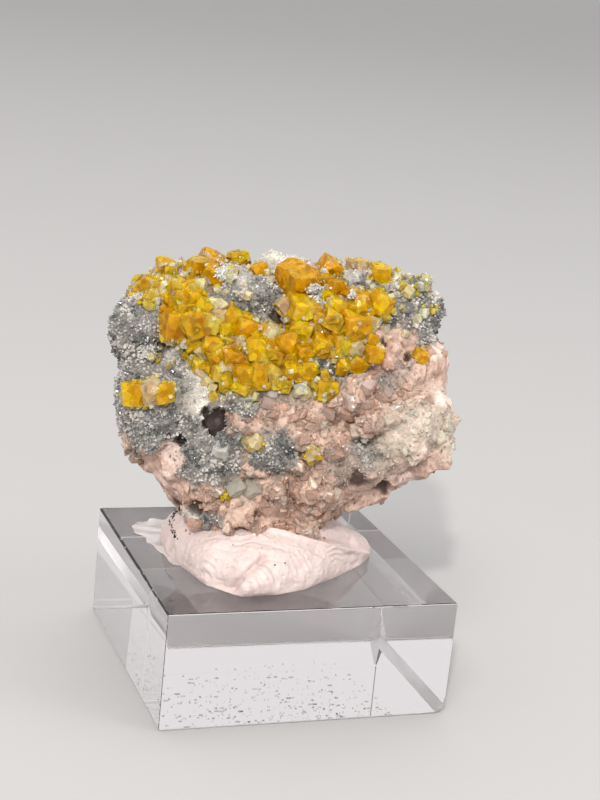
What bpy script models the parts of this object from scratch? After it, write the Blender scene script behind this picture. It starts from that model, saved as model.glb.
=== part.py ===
# Chabazite specimen: golden crystals on a grey and pink rock, held by white putty on a clear block.
# Everything is in metres, +Z up. The origin is the middle of the block's underside, its front is -Y.

import math
import random

import bmesh
import bpy
from mathutils import Matrix, Vector, noise
from mathutils.bvhtree import BVHTree

MM = 0.001

# Driving dimensions of the stand
BLOCK_SIDE = 31.75 * MM
BLOCK_HEIGHT = 12.70 * MM
BLOCK_EDGE = 0.25 * MM
CLEARANCE = 0.30 * MM

# Putty: the outline that it covers on the block in mm, from the front, its height and its round edge
PUTTY_OUTLINE = (
    (-7.2, -12.2), (-3.0, -12.0), (0.4, -10.8), (5.2, -7.6), (9.0, -4.6), (11.5, -1.6), (11.2, 2.4),
    (8.4, 6.4), (3.0, 8.4), (-3.4, 9.0), (-8.6, 8.2), (-11.4, 5.4), (-11.9, 0.8), (-11.2, -3.8),
    (-10.2, -8.6),
)
PUTTY_HEIGHT = 6.6 * MM
PUTTY_RINGS = 6
PUTTY_SPOKES = 36

# Where the rock's middle is, and how its show face is turned: left, leaning back, and rolled
ROCK_CENTRE = Vector((-0.5 * MM, 0.0, 32.1 * MM))
FACE_TURN = math.radians(-20.7)
FACE_LEAN = math.radians(-15.0)
FACE_ROLL = math.radians(-6.0)

# The eye that the show face is laid out for, in the face's own axes: X across, Y away, Z up
EYE = Vector((1.84 * MM, -176.5 * MM, -1.62 * MM))

# Rock
ROCK_FRONT = 8.8 * MM
ROCK_BACK = 10.2 * MM
ROCK_GRID = 0.36 * MM
ROCK_TRIANGLES = 3500
CUTTER_GRID = 0.34 * MM
CUTTER_TRIANGLES = 5200

# The rock's outline on the show face in mm, clockwise from the left end: across, up
ROCK_OUTLINE = (
    (-18.6, 5.4), (-17.9, 8.2), (-16.8, 9.9), (-15.2, 10.8), (-14.0, 12.3), (-12.2, 12.9),
    (-8.4, 13.1), (-5.9, 12.9), (-3.4, 12.6), (-0.9, 13.2), (1.3, 13.2), (2.4, 12.6),
    (5.1, 12.2), (7.5, 12.3), (12.2, 12.2), (14.2, 11.3), (15.8, 9.9), (16.8, 8.4),
    (16.8, 6.8), (16.0, 5.0), (17.0, 3.6), (17.8, 1.7), (17.6, -0.4), (18.2, -3.6),
    (18.1, -6.0), (16.8, -7.6), (14.6, -8.6), (12.6, -9.8), (9.4, -11.6), (7.4, -12.4),
    (6.3, -13.6), (5.0, -16.0), (0.0, -17.4), (-6.0, -17.6), (-10.0, -15.8), (-11.6, -12.3),
    (-13.8, -9.6), (-16.2, -7.2), (-17.2, -5.6), (-17.9, -3.4), (-18.0, 0.8), (-17.4, 2.6),
)

# Rounded lumps on the show face in mm: across, up, radius, how far each stands out
LUMPS = (
    (-15.8, 6.7, 3.3, 2.6), (-14.6, -2.0, 4.0, 2.6), (-15.7, 1.2, 2.6, 1.4), (-15.4, -5.0, 2.9, 1.5),
    (-12.6, -1.6, 2.6, 2.0), (-3.0, 10.0, 2.7, 1.9), (-5.4, 10.6, 2.3, 1.3), (-0.9, 13.0, 1.7, 1.4),
    (1.1, 12.9, 1.6, 1.2), (10.6, 11.6, 1.7, 1.2), (12.4, 10.9, 1.8, 1.4), (14.2, 9.7, 1.9, 1.4),
    (15.9, 8.3, 1.6, 1.1), (12.6, 8.8, 1.7, 1.0), (10.4, 10.0, 1.5, 0.9), (14.6, 7.4, 1.7, 1.0),
    (15.0, 5.6, 1.8, 1.1), (-9.8, -0.4, 2.6, 1.5), (-8.8, -2.4, 1.9, 1.4), (-8.2, -7.2, 3.0, 1.4),
    (-8.6, -10.4, 2.4, 1.1), (-4.6, -4.6, 2.1, 1.1), (-1.0, -7.2, 2.4, 1.2), (-3.2, -8.8, 2.2, 0.9),
    (1.6, -5.4, 2.6, 1.2), (4.4, -2.6, 2.2, 1.1), (7.3, -1.4, 2.6, 1.5), (10.4, -2.2, 2.4, 1.3),
    (11.6, 3.6, 2.6, 1.3), (13.6, 1.2, 2.4, 1.0), (16.6, 2.4, 1.9, 1.1), (14.6, -4.4, 4.2, 1.7),
    (9.8, -8.4, 3.0, 1.7), (12.2, -6.6, 2.8, 1.3), (17.0, -2.6, 2.2, 0.9), (-1.8, -12.6, 3.2, 1.5),
    (3.6, -12.4, 2.6, 1.3), (-6.4, -13.4, 2.8, 1.2), (-11.0, -13.4, 1.4, 0.8), (5.4, -9.4, 2.4, 0.9),
    (-14.4, -8.9, 1.1, 0.8), (-13.4, -10.6, 1.0, 0.8), (-12.4, -12.4, 1.1, 0.8), (6.6, 8.0, 3.0, 0.8),
    (-9.4, 8.4, 2.8, 0.8), (-12.6, 10.2, 2.2, 0.8),
)

# Broken blocks on the show face in mm: across, up, width, height, how far each stands out, roll
SLABS = (
    (13.2, -9.3, 9.4, 1.5, 1.4, -17), (9.0, -11.9, 4.8, 2.2, 1.3, -12), (13.0, -10.0, 4.2, 1.3, 0.7, -24),
    (-12.1, -7.9, 2.4, 3.2, 0.7, -14), (11.4, -2.9, 8.2, 0.9, 1.2, -28), (17.0, -6.9, 1.9, 2.1, 0.8, 20),
    (17.2, 4.0, 1.4, 1.7, 0.6, 8), (-1.0, -15.4, 9.0, 1.6, 1.1, -4), (-7.6, -14.6, 4.4, 1.8, 0.8, 18),
    (1.4, 13.3, 3.6, 1.1, 0.8, -6),
)

# Pits and clefts in mm as chains of hollows: radius, depth, then the points that the chain runs through
PITS = (
    (1.9, 1.8, ((-7.4, -3.6),)), (1.2, 1.2, ((-6.2, -2.4),)), (1.1, 1.3, ((-8.2, -5.0),)),
    (0.8, 1.1, ((-18.6, -7.4), (-15.6, -7.3), (-12.8, -6.2), (-11.6, -4.4))),
    (0.9, 1.0, ((-10.8, -3.2), (-11.4, -6.2), (-10.9, -9.6), (-10.6, -11.6))),
    (1.0, 1.1, ((-17.8, 3.4), (-14.8, 3.4), (-12.2, 3.6))),
    (0.9, 1.1, ((-12.4, 4.8), (-12.8, 7.4), (-13.4, 9.0))),
    (0.7, 1.0, ((-0.7, 8.4), (-0.9, 6.2))), (0.8, 0.8, ((-5.9, 8.6), (-4.9, 7.0))),
    (0.6, 0.7, ((11.1, 4.8),)), (0.6, 0.7, ((13.5, 2.9),)), (0.6, 0.7, ((12.6, 4.1),)),
    (0.6, 0.8, ((8.0, -4.9), (9.6, -4.4), (11.8, -3.6), (14.8, -1.7))),
    (0.8, 1.1, ((8.6, -10.1), (12.0, -8.6), (15.4, -7.6), (17.6, -7.0))),
    (0.8, 1.1, ((7.6, -9.2), (7.2, -11.4), (6.8, -13.2))), (0.9, 0.9, ((10.9, -11.5),)),
    (0.9, 0.8, ((4.8, -0.4), (6.2, -0.2))), (0.8, 0.7, ((-2.2, -3.2), (0.4, -3.2), (2.6, -4.2))),
    (0.8, 0.8, ((-5.6, -10.4), (-2.2, -10.6), (1.6, -9.6), (4.2, -7.2))),
    (0.8, 0.9, ((13.6, 5.0), (14.6, 3.2), (14.9, 0.8))), (0.7, 0.8, ((-9.6, -12.0), (-6.6, -11.7))),
)

# Broken flat faces in mm: a point on the face, then its outward direction, in the face's own axes
BREAKS = (
    ((0.0, 8.2, 3.0), (0.05, 0.98, 0.20)), ((-11.5, 6.4, -2.0), (-0.62, 0.76, -0.18)),
    ((10.5, 7.2, 1.0), (0.56, 0.82, 0.10)), ((2.0, 5.8, -9.6), (0.10, 0.72, -0.69)),
    ((-3.0, 6.0, 10.6), (-0.16, 0.60, 0.78)), ((15.0, -2.0, -8.2), (0.46, -0.30, -0.84)),
    ((0.0, -2.3, -14.5), (0.0, -0.80, -0.60)),
)

# Blocky crystals that the rock itself ends in, in mm: across, up, radius of the patch, how many, size
ROCK_CRYSTAL_PATCHES = (
    (8.6, -2.2, 3.2, 6, 1.9), (-1.4, -12.8, 4.6, 7, 2.2), (3.4, -9.4, 3.0, 4, 1.9),
    (-3.0, -3.0, 3.0, 3, 1.6), (-9.0, -7.0, 3.0, 3, 1.4), (13.6, 9.4, 3.2, 4, 1.5),
    (11.8, -6.6, 3.2, 3, 1.6), (11.4, 3.4, 2.0, 2, 1.6),
)

# Where the grey quartz grows in points, on the show face in mm: across, up, radius
QUARTZ_PATCHES = (
    (-15.8, 6.8, 4.4), (-15.0, -2.2, 5.2), (-4.2, 9.4, 4.4), (-8.6, -7.8, 4.4),
    (-3.0, -5.8, 3.8), (2.0, -7.4, 3.0), (13.0, 9.0, 5.0), (-9.4, -1.0, 3.4), (6.4, 0.6, 3.0),
    (10.0, -7.6, 3.6),
)

# Golden crystals by group, in mm on the show face: across, up, edge, stretch, turn, tip, swing
CRYSTALS = {
    "chabazite_crust_corner": (
        (-15.4, 10.2, 1.5, 1.0, 40, 15, 20), (-14.4, 10.8, 1.8, 1.0, 20, 25, -20),
        (-13.3, 10.3, 1.9, 1.0, -10, 10, 30), (-14.0, 9.4, 1.7, 1.0, 35, 15, 10),
    ),
    "chabazite_crust": (
        (-12.2, 9.3, 1.6, 1.0, 5, 30, 25), (-11.0, 9.3, 1.8, 1.0, 15, 10, -25),
        (-10.3, 10.5, 1.6, 1.0, -20, 20, 15), (-9.6, 9.4, 1.8, 1.0, 10, 25, 35),
        (-10.5, 8.3, 1.8, 1.0, 0, 35, 20), (-8.5, 8.4, 1.6, 1.0, 40, 20, -15),
        (-11.6, 6.6, 3.0, 1.0, 12, 22, 28), (-9.6, 6.6, 2.4, 1.0, -15, 30, 10),
        (-8.1, 6.8, 1.9, 1.0, 25, 15, 35), (-6.9, 7.4, 1.8, 1.0, 5, 25, -20),
        (-5.4, 7.3, 2.0, 1.0, 40, 20, 15), (-6.3, 6.1, 1.5, 1.0, -5, 15, 30),
        (-9.7, 4.8, 1.6, 1.0, 15, 20, 20), (-7.7, 4.3, 2.0, 1.0, 8, 12, 14),
        (-6.3, 4.8, 1.4, 1.0, 20, 30, 20), (-12.2, 5.2, 1.3, 1.0, 30, 20, 20),
        (1.6, 11.2, 3.8, 1.0, 20, 36, 40), (4.2, 10.9, 2.2, 1.0, 10, 20, 20),
        (5.6, 10.4, 2.1, 1.0, 5, 15, 42),
        (0.4, 8.3, 1.6, 1.4, -30, 20, 10), (2.1, 8.0, 2.9, 1.0, 18, 30, 25),
        (3.6, 7.1, 1.8, 1.0, 0, 20, 35), (5.3, 7.2, 2.0, 1.0, 30, 15, 20),
        (6.0, 8.4, 1.9, 1.0, 15, 28, 38), (7.3, 9.6, 1.7, 1.0, -25, 20, 20),
        (8.5, 8.9, 2.3, 1.0, 10, 25, 30), (10.5, 8.7, 2.4, 1.0, 35, 20, -20),
        (7.7, 6.3, 2.7, 1.0, 5, 25, 25), (9.6, 6.9, 1.3, 1.0, 20, 15, 10),
        (1.8, 6.0, 2.2, 1.2, 25, 35, 10), (0.3, 4.6, 2.5, 1.0, -12, 20, 30),
        (-1.2, 5.5, 2.0, 1.0, 38, 25, 15), (-4.0, 6.1, 2.1, 1.0, 20, 15, 30),
        (-2.9, 3.9, 2.1, 1.1, 2, 14, 18), (-4.6, 4.6, 1.4, 1.0, 30, 25, 20),
        (4.0, 4.5, 2.1, 1.0, 30, 30, 20), (6.0, 4.7, 1.6, 1.0, 10, 15, 35),
        (7.7, 4.0, 1.6, 1.0, -20, 25, 15), (9.5, 4.9, 1.5, 1.0, 25, 10, 30),
        (9.8, 3.4, 1.6, 1.0, 15, 20, 30), (8.0, 2.4, 1.8, 1.0, 40, 20, 20),
        (5.6, 3.3, 1.3, 1.0, 5, 25, 15), (2.2, 3.6, 1.8, 1.0, 5, 30, 30),
        (-1.1, 3.2, 1.8, 1.0, 25, 20, 10), (-5.6, 3.0, 1.9, 1.0, 15, 25, 25),
        (-7.4, 3.0, 1.6, 1.0, -10, 30, 15), (-9.0, 2.2, 1.6, 1.0, 20, 20, 30),
        (-6.9, 1.4, 1.7, 1.0, 8, 20, 20), (-4.3, 1.3, 2.0, 1.0, 8, 20, 20),
        (-2.8, 0.9, 1.7, 1.5, 12, 15, 25), (-1.0, 1.4, 1.7, 1.0, 35, 25, 15),
        (0.9, 1.7, 1.8, 1.0, 10, 35, 20), (2.6, 1.3, 1.5, 1.6, 0, 10, 20),
        (0.0, 0.1, 1.4, 1.0, 20, 20, 20),
    ),
    "chabazite_peak": (
        (-7.8, 13.0, 2.9, 1.0, 36, 18, 22), (-9.2, 12.5, 2.5, 1.0, 12, 20, 35),
        (-7.6, 11.8, 2.6, 1.0, 40, 30, 15),
    ),
    "chabazite_top_left": ((-12.6, 12.8, 1.9, 1.0, 10, 35, 30),),
    "chabazite_top_cube": ((-4.8, 13.5, 2.0, 1.0, -4, 12, 14),),
    "chabazite_top_dark": ((-2.3, 11.9, 1.5, 1.8, -24, 25, 20),),
    "chabazite_top_roof": ((5.0, 12.7, 2.1, 1.0, 38, 20, 30),),
    "chabazite_top_cream": ((8.3, 12.6, 2.2, 1.0, 8, 18, 40),),
    "chabazite_top_right": ((10.5, 12.0, 1.9, 1.1, 12, 30, 20),),
    "chabazite_left_pair": (
        (-16.2, -0.9, 2.4, 1.0, 2, 12, 12), (-14.0, -0.6, 2.3, 1.0, 24, 32, 38),
        (-13.0, -0.9, 2.0, 1.0, -10, 10, 20),
    ),
    "chabazite_lower_square": ((4.7, -0.5, 2.1, 1.0, 6, 14, 10),),
    "chabazite_far_right": ((14.8, 3.1, 1.4, 1.0, 30, 30, 30),),
    "chabazite_pale_lower": ((-3.3, -6.2, 1.5, 1.0, -35, 20, 25),),
    "chabazite_pale_right": ((3.0, -7.4, 1.4, 1.0, 30, 20, 15),),
}

FACE = (
    Matrix.Translation(ROCK_CENTRE)
    @ Matrix.Rotation(FACE_TURN, 4, "Z")
    @ Matrix.Rotation(FACE_LEAN, 4, "X")
    @ Matrix.Rotation(FACE_ROLL, 4, "Y")
)


# Clears the scene, so that the part is all that is left
def clear_scene():
    for obj in list(bpy.data.objects):
        bpy.data.objects.remove(obj, do_unlink=True)


# A plain material with the piece's own colour and gloss
def make_material(name, colour, roughness, transmission=0.0):
    material = bpy.data.materials.new(name)
    material.use_nodes = True
    shader = material.node_tree.nodes["Principled BSDF"]
    shader.inputs["Base Color"].default_value = (*colour, 1.0)
    shader.inputs["Roughness"].default_value = roughness
    shader.inputs["Metallic"].default_value = 0.0
    shader.inputs["Transmission Weight"].default_value = transmission
    return material


# Turns a bmesh into a named object in the scene
def add_object(name, bm, material=None, helper=False):
    mesh = bpy.data.meshes.new(name)
    bm.to_mesh(mesh)
    bm.free()
    obj = bpy.data.objects.new(name, mesh)
    bpy.context.scene.collection.objects.link(obj)
    if material:
        mesh.materials.append(material)
    if helper:
        obj.hide_render = True
        obj.display_type = "WIRE"
    return obj


def remove_object(obj):
    bpy.data.objects.remove(obj, do_unlink=True)


# Works an object's modifiers into its mesh
def apply_modifiers(obj):
    bpy.context.view_layer.update()
    evaluated = obj.evaluated_get(bpy.context.evaluated_depsgraph_get())
    bm = bmesh.new()
    bm.from_mesh(evaluated.to_mesh())
    evaluated.to_mesh_clear()
    obj.modifiers.clear()
    bm.to_mesh(obj.data)
    bm.free()


def apply_boolean(obj, other, operation):
    cut = obj.modifiers.new("cut", "BOOLEAN")
    cut.operation = operation
    cut.solver = "EXACT"
    cut.object = other
    apply_modifiers(obj)


def fewer_faces(obj, triangles):
    obj.data.calc_loop_triangles()
    thin = obj.modifiers.new("fewer faces", "DECIMATE")
    thin.ratio = triangles / len(obj.data.loop_triangles)
    thin.use_collapse_triangulate = True
    apply_modifiers(obj)


def tree_of(obj):
    bm = bmesh.new()
    bm.from_mesh(obj.data)
    tree = BVHTree.FromBMesh(bm)
    bm.free()
    return tree


# How far an outline reaches from the origin at any angle round it
def outline_reach(outline):
    corners = sorted((math.atan2(up, across), across, up) for across, up in outline)
    first, last = corners[0], corners[-1]
    corners.insert(0, (last[0] - math.tau, *last[1:]))
    corners.append((first[0] + math.tau, *first[1:]))

    def reach(angle):
        for (start, x0, z0), (end, x1, z1) in zip(corners, corners[1:]):
            if start <= angle <= end:
                run, climb = x1 - x0, z1 - z0
                return abs((x0 * climb - z0 * run) / (run * math.sin(angle) - climb * math.cos(angle)))
        raise ValueError("the outline leaves an angle open")

    return reach


# Where the eye's line through a point of the show face's middle plane meets the rock
def sight_hit(tree, across, up):
    target = Vector((across * MM, 0.0, up * MM))
    spot, normal, _, _ = tree.ray_cast(EYE, (target - EYE).normalized())
    if spot is None:
        spot, normal, _, _ = tree.find_nearest(target)
    return spot, normal


# The rock's bulk: a ball drawn out to the outline, squarer than a ball from front to back
def add_bulk(bm):
    fullness = 0.72
    reach = outline_reach(ROCK_OUTLINE)
    ball = bmesh.ops.create_icosphere(bm, subdivisions=5, radius=1.0)
    for vert in ball["verts"]:
        across, away, up = vert.co
        edge = reach(math.atan2(up, across)) * MM
        depth = ROCK_BACK if away > 0.0 else ROCK_FRONT
        thick = math.copysign(abs(away) ** fullness, away) * depth
        vert.co = Vector((across * edge, thick, up * edge))
    for point, direction in BREAKS:
        flatten_past(ball["verts"], Vector(point) * MM, Vector(direction).normalized())


# Flattens what stands past a broken face, almost onto it
def flatten_past(verts, middle, outward):
    kept = 0.15
    for vert in verts:
        past = (vert.co - middle).dot(outward)
        if past > 0.0:
            vert.co -= outward * past * (1.0 - kept)


def add_lumps(bm, tree):
    chooser = random.Random(11)
    for across, up, radius, rise in LUMPS:
        spot, normal = sight_hit(tree, across, up)
        middle = spot - normal * (radius - rise) * MM
        squash = Matrix.Diagonal([chooser.uniform(0.88, 1.08) for _ in range(3)] + [1.0])
        place = Matrix.Translation(middle) @ Matrix.Rotation(chooser.uniform(0.0, math.tau), 4, normal)
        bmesh.ops.create_icosphere(bm, subdivisions=3, radius=radius * MM, matrix=place @ squash)


def add_slabs(bm, tree):
    depth, sideways = 5.0 * MM, math.radians(8.0)
    for across, up, width, height, rise, roll in SLABS:
        spot, _ = sight_hit(tree, across, up)
        outward = (EYE - spot).normalized()
        middle = spot + outward * (rise * MM - depth / 2.0)
        turn = Matrix.Rotation(math.radians(roll), 4, "Y") @ Matrix.Rotation(sideways, 4, "X")
        size = Matrix.Diagonal((width * MM, depth, height * MM, 1.0))
        bmesh.ops.create_cube(bm, size=1.0, matrix=Matrix.Translation(middle) @ turn @ size)


# Pushes the skin inside a ball back onto the ball, which leaves a hollow
def press_ball(verts, middle, radius):
    for vert in verts:
        arm = vert.co - middle
        if 0.0 < arm.length < radius:
            vert.co = middle + arm.normalized() * radius


# The points along a chain of straight runs, a step apart
def along_chain(points, step):
    yield points[0]
    for (x0, z0), (x1, z1) in zip(points, points[1:]):
        count = max(1, round(math.hypot(x1 - x0, z1 - z0) / step))
        for index in range(1, count + 1):
            share = index / count
            yield x0 + (x1 - x0) * share, z0 + (z1 - z0) * share


def press_pits(bm):
    for radius, depth, points in PITS:
        tree = BVHTree.FromBMesh(bm)
        for across, up in along_chain(points, radius * 0.8):
            spot, normal = sight_hit(tree, across, up)
            press_ball(bm.verts, spot + normal * (radius - depth) * MM, radius * MM)


# Rough stone all over, and sharper quartz points in the grey patches
def roughen(bm):
    rough, grain, coarse = 0.26 * MM, 2.4 * MM, 7.0 * MM
    bm.normal_update()
    pushes = []
    for vert in bm.verts:
        push = rough * (0.9 * noise.noise(vert.co / coarse) + noise.fractal(vert.co / grain, 1.0, 2.0, 3))
        across, up = vert.co.x / MM, vert.co.z / MM
        if vert.normal.y < 0.2 and any(math.hypot(across - x, up - z) < r for x, z, r in QUARTZ_PATCHES):
            push += 0.75 * MM * max(0.0, noise.noise(vert.co / (0.8 * MM)))
        else:
            push += 0.30 * MM * noise.noise(vert.co / (1.1 * MM))
        pushes.append(vert.normal * push)
    for vert, push in zip(bm.verts, pushes):
        vert.co += push


# A block with bevelled corners, turned at random, as the rock's own crystals are
def add_rock_crystal(bm, middle, size, chooser):
    angles = [chooser.uniform(0.0, math.tau) for _ in range(3)]
    turn = Matrix.Rotation(angles[0], 4, "X") @ Matrix.Rotation(angles[1], 4, "Y") @ Matrix.Rotation(angles[2], 4, "Z")
    stretch = Matrix.Diagonal((1.0, chooser.uniform(0.65, 1.0), chooser.uniform(0.9, 1.5), 1.0))
    lean = Matrix.Shear("XY", 4, (chooser.uniform(-0.3, 0.3), chooser.uniform(-0.3, 0.3)))
    bmesh.ops.create_cube(bm, size=size, matrix=Matrix.Translation(middle) @ turn @ stretch @ lean)


def join_rock_crystals(rock):
    chooser = random.Random(23)
    shown = 0.12
    tree = tree_of(rock)
    for across, up, radius, count, size in ROCK_CRYSTAL_PATCHES:
        for _ in range(count):
            angle, away = chooser.uniform(0.0, math.tau), radius * math.sqrt(chooser.random())
            spot, normal = sight_hit(tree, across + away * math.cos(angle), up + away * math.sin(angle))
            edge = size * chooser.uniform(0.75, 1.15) * MM
            bm = bmesh.new()
            add_rock_crystal(bm, spot + normal * edge * shown, edge, chooser)
            crystal = add_object("rock_crystal", bm, helper=True)
            apply_boolean(rock, crystal, "UNION")
            remove_object(crystal)
    keep_largest_piece(rock)


# The rock: bulk, lumps and slabs made one skin, then pitted, roughened and left with fewer faces
def make_rock(material):
    bm = bmesh.new()
    add_bulk(bm)
    tree = BVHTree.FromBMesh(bm)
    add_lumps(bm, tree)
    add_slabs(bm, tree)
    rock = add_object("matrix_rock", bm, material)
    skin = rock.modifiers.new("one skin", "REMESH")
    skin.mode = "VOXEL"
    skin.voxel_size = ROCK_GRID
    apply_modifiers(rock)
    bm = bmesh.new()
    bm.from_mesh(rock.data)
    press_pits(bm)
    roughen(bm)
    bm.to_mesh(rock.data)
    bm.free()
    fewer_faces(rock, ROCK_TRIANGLES)
    join_rock_crystals(rock)
    return rock


# A copy of the rock grown outwards past the clearance, which cuts what touches it
def make_rock_cutter(rock):
    growth = CLEARANCE + 0.16 * MM
    bm = bmesh.new()
    bm.from_mesh(rock.data)
    bm.normal_update()
    for vert in bm.verts:
        vert.co += vert.normal * growth
    cutter = add_object("rock_cutter", bm, helper=True)
    skin = cutter.modifiers.new("one skin", "REMESH")
    skin.mode = "VOXEL"
    skin.voxel_size = CUTTER_GRID
    apply_modifiers(cutter)
    keep_largest_piece(cutter)
    fewer_faces(cutter, CUTTER_TRIANGLES)
    return cutter


# One chabazite rhombohedron: a cube shortened a little along its body diagonal
def add_rhombohedron(bm, middle, edge, stretch, turn, tip, swing):
    squat = 0.93
    turned = (
        Matrix.Rotation(math.radians(turn), 4, "Y")
        @ Matrix.Rotation(math.radians(tip), 4, "X")
        @ Matrix.Rotation(math.radians(swing), 4, "Z")
    )
    shape = (
        Matrix.Translation(middle)
        @ turned
        @ Matrix.Diagonal((1.0, 1.0, stretch, 1.0))
        @ Matrix.Scale(squat, 4, Vector((1.0, 1.0, 1.0)).normalized())
    )
    bmesh.ops.create_cube(bm, size=edge, matrix=shape)


# The middle of a crystal that stands out of the rock by a share of its edge, or over its skyline
def crystal_middle(tree, across, up, edge, shown):
    spot, _ = sight_hit(tree, across, up)
    sight = (Vector((across * MM, 0.0, up * MM)) - EYE).normalized()
    on_sight = EYE + sight * (spot - EYE).dot(sight)
    over = on_sight - spot
    if over.length > 0.45 * edge:
        over = over.normalized() * 0.45 * edge
    return spot + over - sight * edge * shown


# Crystals that have grown into each other, joined and then cut free of the rock
def make_crystal_group(name, crystals, tree, cutter, material):
    shown = 0.22
    group = None
    for across, up, edge, stretch, turn, tip, swing in crystals:
        middle = crystal_middle(tree, across, up, edge * MM, shown)
        bm = bmesh.new()
        add_rhombohedron(bm, middle, edge * MM, stretch, turn, tip, swing)
        crystal = add_object(name, bm, material)
        if group is None:
            group = crystal
        else:
            apply_boolean(group, crystal, "UNION")
            remove_object(crystal)
    apply_boolean(group, cutter, "DIFFERENCE")
    keep_largest_piece(group)
    group.name = name
    return group


# Drops the loose chips that a cut leaves beside the main body
def keep_largest_piece(obj):
    bm = bmesh.new()
    bm.from_mesh(obj.data)
    pieces, seen = [], set()
    for start in bm.verts:
        if start in seen:
            continue
        seen.add(start)
        piece, waiting = [], [start]
        while waiting:
            vert = waiting.pop()
            piece.append(vert)
            for edge in vert.link_edges:
                other = edge.other_vert(vert)
                if other not in seen:
                    seen.add(other)
                    waiting.append(other)
        pieces.append(piece)
    pieces.sort(key=len)
    chips = [vert for piece in pieces[:-1] for vert in piece]
    bmesh.ops.delete(bm, geom=chips, context="VERTS")
    bm.to_mesh(obj.data)
    bm.free()


# The clear block, its edges barely broken
def make_block(material):
    bm = bmesh.new()
    size = Matrix.Diagonal((BLOCK_SIDE, BLOCK_SIDE, BLOCK_HEIGHT, 1.0))
    bmesh.ops.create_cube(bm, size=1.0, matrix=Matrix.Translation((0.0, 0.0, BLOCK_HEIGHT / 2.0)) @ size)
    bmesh.ops.bevel(bm, geom=bm.edges, offset=BLOCK_EDGE, segments=1, profile=0.5, affect="EDGES", material=-1)
    return add_object("display_block", bm, material)


# The putty: rings from its foot on the block up and over a low dome, pressed round the rock's foot
def make_putty(cutter, material):
    reach = outline_reach(PUTTY_OUTLINE)
    foot = BLOCK_HEIGHT + CLEARANCE
    bm = bmesh.new()
    rings = []
    for ring in range(PUTTY_RINGS):
        share = ring / PUTTY_RINGS
        inward = 1.0 - share ** 1.5
        climb = math.sin(share * math.pi / 2.0) ** 0.8 * PUTTY_HEIGHT
        row = []
        for spoke in range(PUTTY_SPOKES):
            angle = math.tau * spoke / PUTTY_SPOKES - math.pi
            edge = reach(angle) * MM * inward
            bulge = 1.0 + 0.05 * noise.noise(Vector((math.cos(angle) * 2.0, math.sin(angle) * 2.0, share * 3.0)))
            spot = Vector((math.cos(angle) * edge * bulge, math.sin(angle) * edge * bulge, foot + climb * bulge))
            row.append(bm.verts.new(spot))
        rings.append(row)
    for lower, upper in zip(rings, rings[1:]):
        for index in range(PUTTY_SPOKES):
            after = (index + 1) % PUTTY_SPOKES
            bm.faces.new((lower[index], lower[after], upper[after], upper[index]))
    for vert in rings[0]:
        vert.co.z = foot
    bm.faces.new(list(reversed(rings[0])))
    crown = bm.verts.new((0.0, 0.0, foot + PUTTY_HEIGHT))
    for index in range(PUTTY_SPOKES):
        bm.faces.new((rings[-1][index], rings[-1][(index + 1) % PUTTY_SPOKES], crown))
    putty = add_object("mounting_putty", bm, material)
    apply_boolean(putty, cutter, "DIFFERENCE")
    keep_largest_piece(putty)
    return putty


def main():
    clear_scene()
    stone = make_material("grey and pink stone", (0.62, 0.54, 0.50), 0.65)
    gold = make_material("golden chabazite", (0.86, 0.58, 0.06), 0.25, 0.3)
    white = make_material("white putty", (0.90, 0.87, 0.83), 0.55)
    clear = make_material("clear acrylic", (1.0, 1.0, 1.0), 0.02, 1.0)
    rock = make_rock(stone)
    cutter = make_rock_cutter(rock)
    tree = tree_of(rock)
    for name, crystals in CRYSTALS.items():
        make_crystal_group(name, crystals, tree, cutter, gold)
    for obj in bpy.context.scene.objects:
        obj.data.transform(FACE)
    make_block(clear)
    make_putty(cutter, white)
    remove_object(cutter)


main()
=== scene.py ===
import math
import random

import bmesh
import bpy
import numpy as np
from mathutils import Matrix, Vector, noise
from mathutils.bvhtree import BVHTree
from mathutils.kdtree import KDTree


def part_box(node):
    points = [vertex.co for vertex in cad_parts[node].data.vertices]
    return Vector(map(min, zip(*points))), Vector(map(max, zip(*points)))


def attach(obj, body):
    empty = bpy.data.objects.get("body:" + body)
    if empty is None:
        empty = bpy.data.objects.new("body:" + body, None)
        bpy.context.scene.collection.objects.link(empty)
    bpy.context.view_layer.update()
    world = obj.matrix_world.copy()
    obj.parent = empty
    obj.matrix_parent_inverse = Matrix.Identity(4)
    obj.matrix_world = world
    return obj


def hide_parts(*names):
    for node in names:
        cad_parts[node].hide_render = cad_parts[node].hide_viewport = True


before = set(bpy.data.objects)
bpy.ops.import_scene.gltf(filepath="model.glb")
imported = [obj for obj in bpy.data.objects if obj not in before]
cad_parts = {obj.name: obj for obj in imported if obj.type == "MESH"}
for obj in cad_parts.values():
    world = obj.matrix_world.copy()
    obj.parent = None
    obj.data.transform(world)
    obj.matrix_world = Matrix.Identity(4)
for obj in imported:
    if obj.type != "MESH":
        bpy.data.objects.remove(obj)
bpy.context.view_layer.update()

mm = 0.001

# The rock's show face, as the frame has it: X across, Y away from the eye, Z up
showFace = {
    "middle": (-0.5, 0.0, 32.1),  # mm, in the block's frame
    "turn": -20.7,  # degrees
    "lean": -15.0,
    "roll": -6.0,
    "eye": (1.84, -176.5, -1.62),  # mm, in the face's own axes
    "pixelsPerMm": 9.247,
    "middlePixel": (283.0, 385.0),
}
faceMatrix = (
    Matrix.Translation(Vector(showFace["middle"]) * mm)
    @ Matrix.Rotation(math.radians(showFace["turn"]), 4, "Z")
    @ Matrix.Rotation(math.radians(showFace["lean"]), 4, "X")
    @ Matrix.Rotation(math.radians(showFace["roll"]), 4, "Y")
)
toFace = faceMatrix.inverted()
eyePoint = faceMatrix @ (Vector(showFace["eye"]) * mm)

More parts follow.
